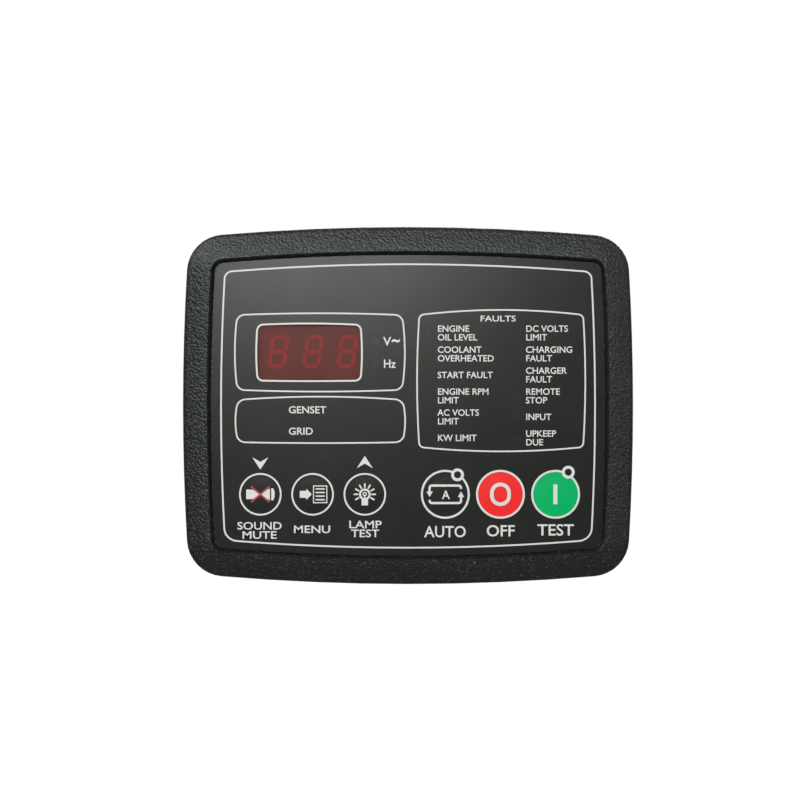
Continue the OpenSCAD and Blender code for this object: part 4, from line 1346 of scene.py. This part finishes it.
    @staticmethod
    def draw_list(art: Drawing) -> None:
        """Draws an arrow that points at a sheet with lines.

        Args:
            art: The drawing.
        """
        tail, neck, tip = -4.4, -2.15, -0.25
        shaft_half, head_half = 1.2, 1.95
        art.shape(
            (tail, -shaft_half), (neck, -shaft_half), (neck, -head_half), (tip, 0.0),
            (neck, head_half), (neck, shaft_half), (tail, shaft_half),
        )
        left, right, half_h, outline = 0.15, 5.05, 3.05, 0.36
        margin, line = 0.9, 0.48
        art.hollow(art.bar(left, right, -half_h, half_h), outline)
        for z in (-1.85, -0.62, 0.62, 1.85):
            art.bar(left + margin, right - margin, z - line / 2, z + line / 2)

    @staticmethod
    def draw_bulb(art: Drawing) -> None:
        """Draws a lamp bulb with its filament, its cap and rays.

        Args:
            art: The drawing.
        """
        art.ring(radius=2.0, line=0.7)
        art.ring(radius=0.75, line=0.4, z=0.1)
        art.bar(left=-0.22, right=0.22, bottom=-1.4, top=-0.6)
        art.bar(left=-1.1, right=1.1, bottom=-3.8, top=-1.66)
        for angle in range(-30, 211, 30):
            art.turned_bar(length=1.55, width=0.55, start=2.25, angle=angle)

    def draw_loop(self, art: Drawing) -> None:
        """Draws a loop of two arrows with an A inside.

        Args:
            art: The drawing.
        """
        half_w, line, head, head_w, gap = 5.4, 0.78, 0.95, 1.1, 1.9
        art.box(half_w, half_h=3.0, radius=0.8, line=line)
        for height in (head, gap, -head, -gap):
            art.cut((0, height), (0, 1))
        art.drop(-half_w - line, 0, -gap, head)
        art.drop(0, half_w + line, -head, gap)
        art.shape((-half_w - head_w, head), (-half_w, -head), (-half_w + head_w, head))
        art.shape((half_w - head_w, -head), (half_w + head_w, -head), (half_w, head))
        self.letterer.stamp(art.bm, Label("A", 0.2, -0.15, 2.9, 0.94), art.origin)

    @staticmethod
    def draw_ring(art: Drawing) -> None:
        """Draws the open ring of the off key."""
        art.box(half_w=2.95, half_h=3.4, radius=2.85, line=1.25)

    @staticmethod
    def draw_bar(art: Drawing) -> None:
        """Draws the bar of the test key."""
        art.bar(left=-0.78, right=0.6, bottom=-3.4, top=3.4)


@dataclass(frozen=True)
class Dressing:
    """Finish of some CAD nodes, with the width of their rounded edges in millimetres."""

    finish: Finish
    nodes: tuple[str, ...]
    edge: float = 0.0


@dataclass
class CadPieces:
    """The CAD nodes that stay visible, with their finishes and edges."""

    edge_angle: float = math.radians(40)
    edge_steps: int = 2
    flat_angle: float = math.radians(0.5)
    dressings: tuple[Dressing, ...] = (
        Dressing(Finishes.frame, ("front_frame",)),
        Dressing(Finishes.filter, ("display_window",)),
        Dressing(Finishes.gasket, ("panel_gasket",)),
        Dressing(Finishes.board, ("display_board", "main_board")),
        Dressing(Finishes.switch, ("tact_switches", "crystal")),
        Dressing(Finishes.module, ("digit_module",)),
        Dressing(Finishes.segment, ("digit_segments",)),
        Dressing(Finishes.red_lamp, ("fault_lamps",)),
        Dressing(Finishes.amber_lamp, ("unit_lamps",)),
        Dressing(Finishes.green_lamp, ("supply_lamps", "mode_lamps")),
        Dressing(Finishes.nylon, ("lamp_spacers",)),
        Dressing(Finishes.chip, ("control_chip", "driver_chips")),
        Dressing(Finishes.link, ("link_socket", "link_header")),
        Dressing(Finishes.pin, ("link_pins", "header_pins")),
        Dressing(Finishes.steel, ("board_spacers", "case_screws", "wire_clamps", "terminal_screws")),
        Dressing(Finishes.steel, ("left_bracket", "right_bracket"), 0.45),
        Dressing(Finishes.relay, ("relays",)),
        Dressing(Finishes.sleeve, ("capacitors",)),
        Dressing(Finishes.surge, ("surge_discs",)),
        Dressing(Finishes.coil, ("choke",)),
        Dressing(Finishes.case, ("rear_case",), 0.35),
        Dressing(Finishes.terminal, ("upper_headers", "lower_headers", "upper_plugs", "lower_plugs"), 0.2),
    )

    def build(self) -> None:
        """Dresses every node."""
        key_bodies = [body for body in frame["bodies"] if body != "housing"]
        keys = Dressing(Finishes.key, tuple(f"{body}_key" for body in key_bodies))
        buttons = Dressing(Finishes.button, tuple(f"{body}_button" for body in key_bodies))
        shading = self.shading_group()
        for dressing in (*self.dressings, keys, buttons):
            for name in dressing.nodes:
                self.dress(frame["nodes"][name], dressing, shading)

    def dress(self, node: bpy.types.Object, dressing: Dressing, shading: bpy.types.NodeTree) -> None:
        """Gives a node its finish, its rounded edges and smooth shading.

        Args:
            node: The object of the CAD node.
            dressing: Its finish and the width of its edges.
            shading: The group that shades round faces smooth.
        """
        node.data.materials.clear()
        node.data.materials.append(dressing.finish.material())
        if dressing.edge:
            self.modify(node, "weld", "WELD", merge_threshold=SAME_SPOT)
            self.modify(node, "flats", "DECIMATE", decimate_type="DISSOLVE", angle_limit=self.flat_angle)
            self.modify(
                node, "edges", "BEVEL", width=dressing.edge * MM, segments=self.edge_steps,
                limit_method="ANGLE", angle_limit=self.edge_angle,
            )
        self.modify(node, "shading", "NODES", node_group=shading)
        if dressing.edge:
            self.modify(node, "normals", "WEIGHTED_NORMAL", keep_sharp=True)
        log.info("%s: %s", node.name, dressing.finish.name)

    @staticmethod
    def modify(node: bpy.types.Object, name: str, kind: str, **settings: Any) -> None:
        """Adds a modifier to a node.

        Args:
            node: The object of the CAD node.
            name: Name of the modifier.
            kind: Blender's name of the modifier's type.
            **settings: Properties of the modifier.
        """
        modifier = node.modifiers.new(name, kind)
        for setting, value in settings.items():
            setattr(modifier, setting, value)

    @staticmethod
    def shading_group() -> bpy.types.NodeTree:
        """Makes the modifier group that joins a node's triangles and shades its round faces smooth.

        Returns:
            The node group.
        """
        tree = bpy.data.node_groups.new("smooth_by_angle", "GeometryNodeTree")
        for way in ("INPUT", "OUTPUT"):
            tree.interface.new_socket("Geometry", in_out=way, socket_type="NodeSocketGeometry")
        graph = Graph(tree)
        loose = {"Geometry": graph.value("NodeGroupInput", "Geometry"), "Distance": SAME_SPOT}
        joined = graph.value("GeometryNodeMergeByDistance", "Geometry", None, loose)
        angle = graph.value("GeometryNodeInputMeshEdgeAngle", "Unsigned Angle")
        limits = {0: angle, 1: SHARP_ANGLE}
        sharp = graph.value("FunctionNodeCompare", "Result", {"operation": "GREATER_THAN"}, limits)
        faces = {"Geometry": joined, "Shade Smooth": True}
        smooth = graph.value("GeometryNodeSetShadeSmooth", "Geometry", {"domain": "FACE"}, faces)
        edges = {"Geometry": smooth, "Selection": sharp, "Shade Smooth": False}
        edged = graph.value("GeometryNodeSetShadeSmooth", "Geometry", {"domain": "EDGE"}, edges)
        graph.node("NodeGroupOutput", None, {"Geometry": edged})
        return tree


@dataclass(frozen=True)
class Lamp:
    """An area light of the studio that points at the origin: its name, place, size and power."""

    name: str
    place: Step
    size: float
    watts: float

    def build(self) -> None:
        """Hangs the light."""
        light = bpy.data.lights.new(self.name, "AREA")
        light.shape = "DISK"
        light.size = self.size
        light.energy = self.watts
        thing = enter_scene(bpy.data.objects.new(self.name, light))
        thing.location = self.place
        thing.rotation_mode = "QUATERNION"
        thing.rotation_quaternion = (-Vector(self.place)).to_track_quat("-Z", "Y")


class Ray(Enum):
    """Kinds of rays that meet the surroundings."""

    CAMERA = "Is Camera Ray"
    GLOSSY = "Is Glossy Ray"
    TRANSMISSION = "Is Transmission Ray"


@dataclass
class Studio:
    """Camera, lights, white surroundings and floor, in metres.

    The spans are the shares of depth or height, from 0 to 1, over which a part of the room fades in.
    """

    lens_mm: float = 85.0
    sensor_mm: float = 36.0
    camera_place: Step = (-0.00276, -0.656, 0.0019)
    floor_drop: float = 0.35
    floor_size: float = 12.0
    floor_shade: float = 0.25
    floor_glow: float = 0.92
    ambient: float = 0.4
    room: float = 0.05
    ceiling: float = 0.5
    backdrop: float = 0.35
    behind_span: Span = (0.4, 0.65)
    above_span: Span = (0.52, 0.85)
    overhead_span: Span = (0.88, 0.98)
    lamps: tuple[Lamp, ...] = (
        Lamp("key_light", (-0.08, -0.86, 0.22), 0.3, 3.7),
        Lamp("left_light", (-0.46, -0.45, 0.44), 0.35, 2.3),
        Lamp("right_light", (0.60, -0.60, 0.15), 0.5, 0.8),
        Lamp("back_light", (0.30, 0.80, 0.60), 0.6, 5.0),
    )

    def build(self) -> None:
        """Builds the studio."""
        scene = bpy.context.scene
        scene.view_settings.view_transform = "Standard"
        lens = bpy.data.cameras.new("camera")
        lens.lens = self.lens_mm
        lens.sensor_width = self.sensor_mm
        camera = enter_scene(bpy.data.objects.new("camera", lens))
        camera.location = self.camera_place
        camera.rotation_euler = (math.pi / 2, 0, 0)
        scene.camera = camera
        for lamp in self.lamps:
            lamp.build()
        self.build_world(scene)
        self.build_floor()

    @staticmethod
    def rays(graph: Graph, *kinds: Ray) -> Value:
        """Finds the rays of some kinds.

        Args:
            graph: The nodes of a material or the world.
            *kinds: The kinds of rays.

        Returns:
            A mask that is 1 for such a ray.
        """
        path = graph.node("ShaderNodeLightPath")
        mask, *others = (Value(graph, path.outputs[kind.value]) for kind in kinds)
        for other in others:
            mask = mask.highest(other)
        return mask

    def build_world(self, scene: bpy.types.Scene) -> None:
        """Builds white surroundings, which mirror as a dim room with a pale ceiling on the front side.

        Args:
            scene: The scene that takes the surroundings.
        """
        world = bpy.data.worlds.new("surroundings")
        world.use_nodes = True
        scene.world = world
        graph = Graph(world.node_tree)
        direction = {0: graph.value("ShaderNodeTexCoord", "Generated")}
        depth, height = (
            graph.value("ShaderNodeSeparateXYZ", axis, None, direction) * 0.5 + 0.5 for axis in ("Y", "Z")
        )
        behind = graph.ramp(depth, *self.behind_span)
        overhead = graph.ramp(height, *self.overhead_span)
        above = (graph.ramp(height, *self.above_span) - overhead) * (1 - behind)
        mirrored = behind * self.backdrop + above * self.ceiling + self.room
        white = self.rays(graph, Ray.CAMERA).highest(mirrored)
        shown = self.rays(graph, Ray.CAMERA, Ray.GLOSSY, Ray.TRANSMISSION)
        strength = shown * white + (1 - shown) * self.ambient
        inputs = {"Strength": strength, "Color": (1, 1, 1)}
        light = graph.value("ShaderNodeBackground", "Background", None, inputs)
        graph.node("ShaderNodeOutputWorld", None, {"Surface": light})

    def build_floor(self) -> None:
        """Builds a white floor that keeps the object's shadow."""
        material = bpy.data.materials.new("white_floor")
        material.use_nodes = True
        graph = Graph(material.node_tree)
        lit = self.rays(graph, Ray.CAMERA, Ray.TRANSMISSION)
        paint = graph.value("ShaderNodeBsdfDiffuse", "BSDF", None, {"Color": (self.floor_shade,) * 3})
        glow = graph.value("ShaderNodeEmission", "Emission", None, {"Strength": lit * self.floor_glow})
        both = graph.value("ShaderNodeAddShader", "Shader", None, {0: paint, 1: glow})
        graph.node("ShaderNodeOutputMaterial", None, {"Surface": both})
        bm = bmesh.new()
        place = Matrix.Translation((0, 0, -self.floor_drop))
        bmesh.ops.create_grid(bm, x_segments=1, y_segments=1, size=self.floor_size / 2, matrix=place)
        mesh = bpy.data.meshes.new("floor")
        bm.to_mesh(mesh)
        bm.free()
        mesh.materials.append(material)
        enter_scene(bpy.data.objects.new("floor", mesh))


def main() -> None:
    """Builds the studio, dresses the CAD nodes and builds the printed face."""
    logging.basicConfig(level=logging.INFO, format="%(name)s: %(message)s")
    letterer = Letterer()
    for part in (Studio(), CadPieces(), ClampScrews(), TerminalNumbers(letterer), MembraneFace(letterer)):
        part.build()
        log.info("%s is built", type(part).__name__)
    letterer.put_away()


if __name__ == "__main__":
    main()
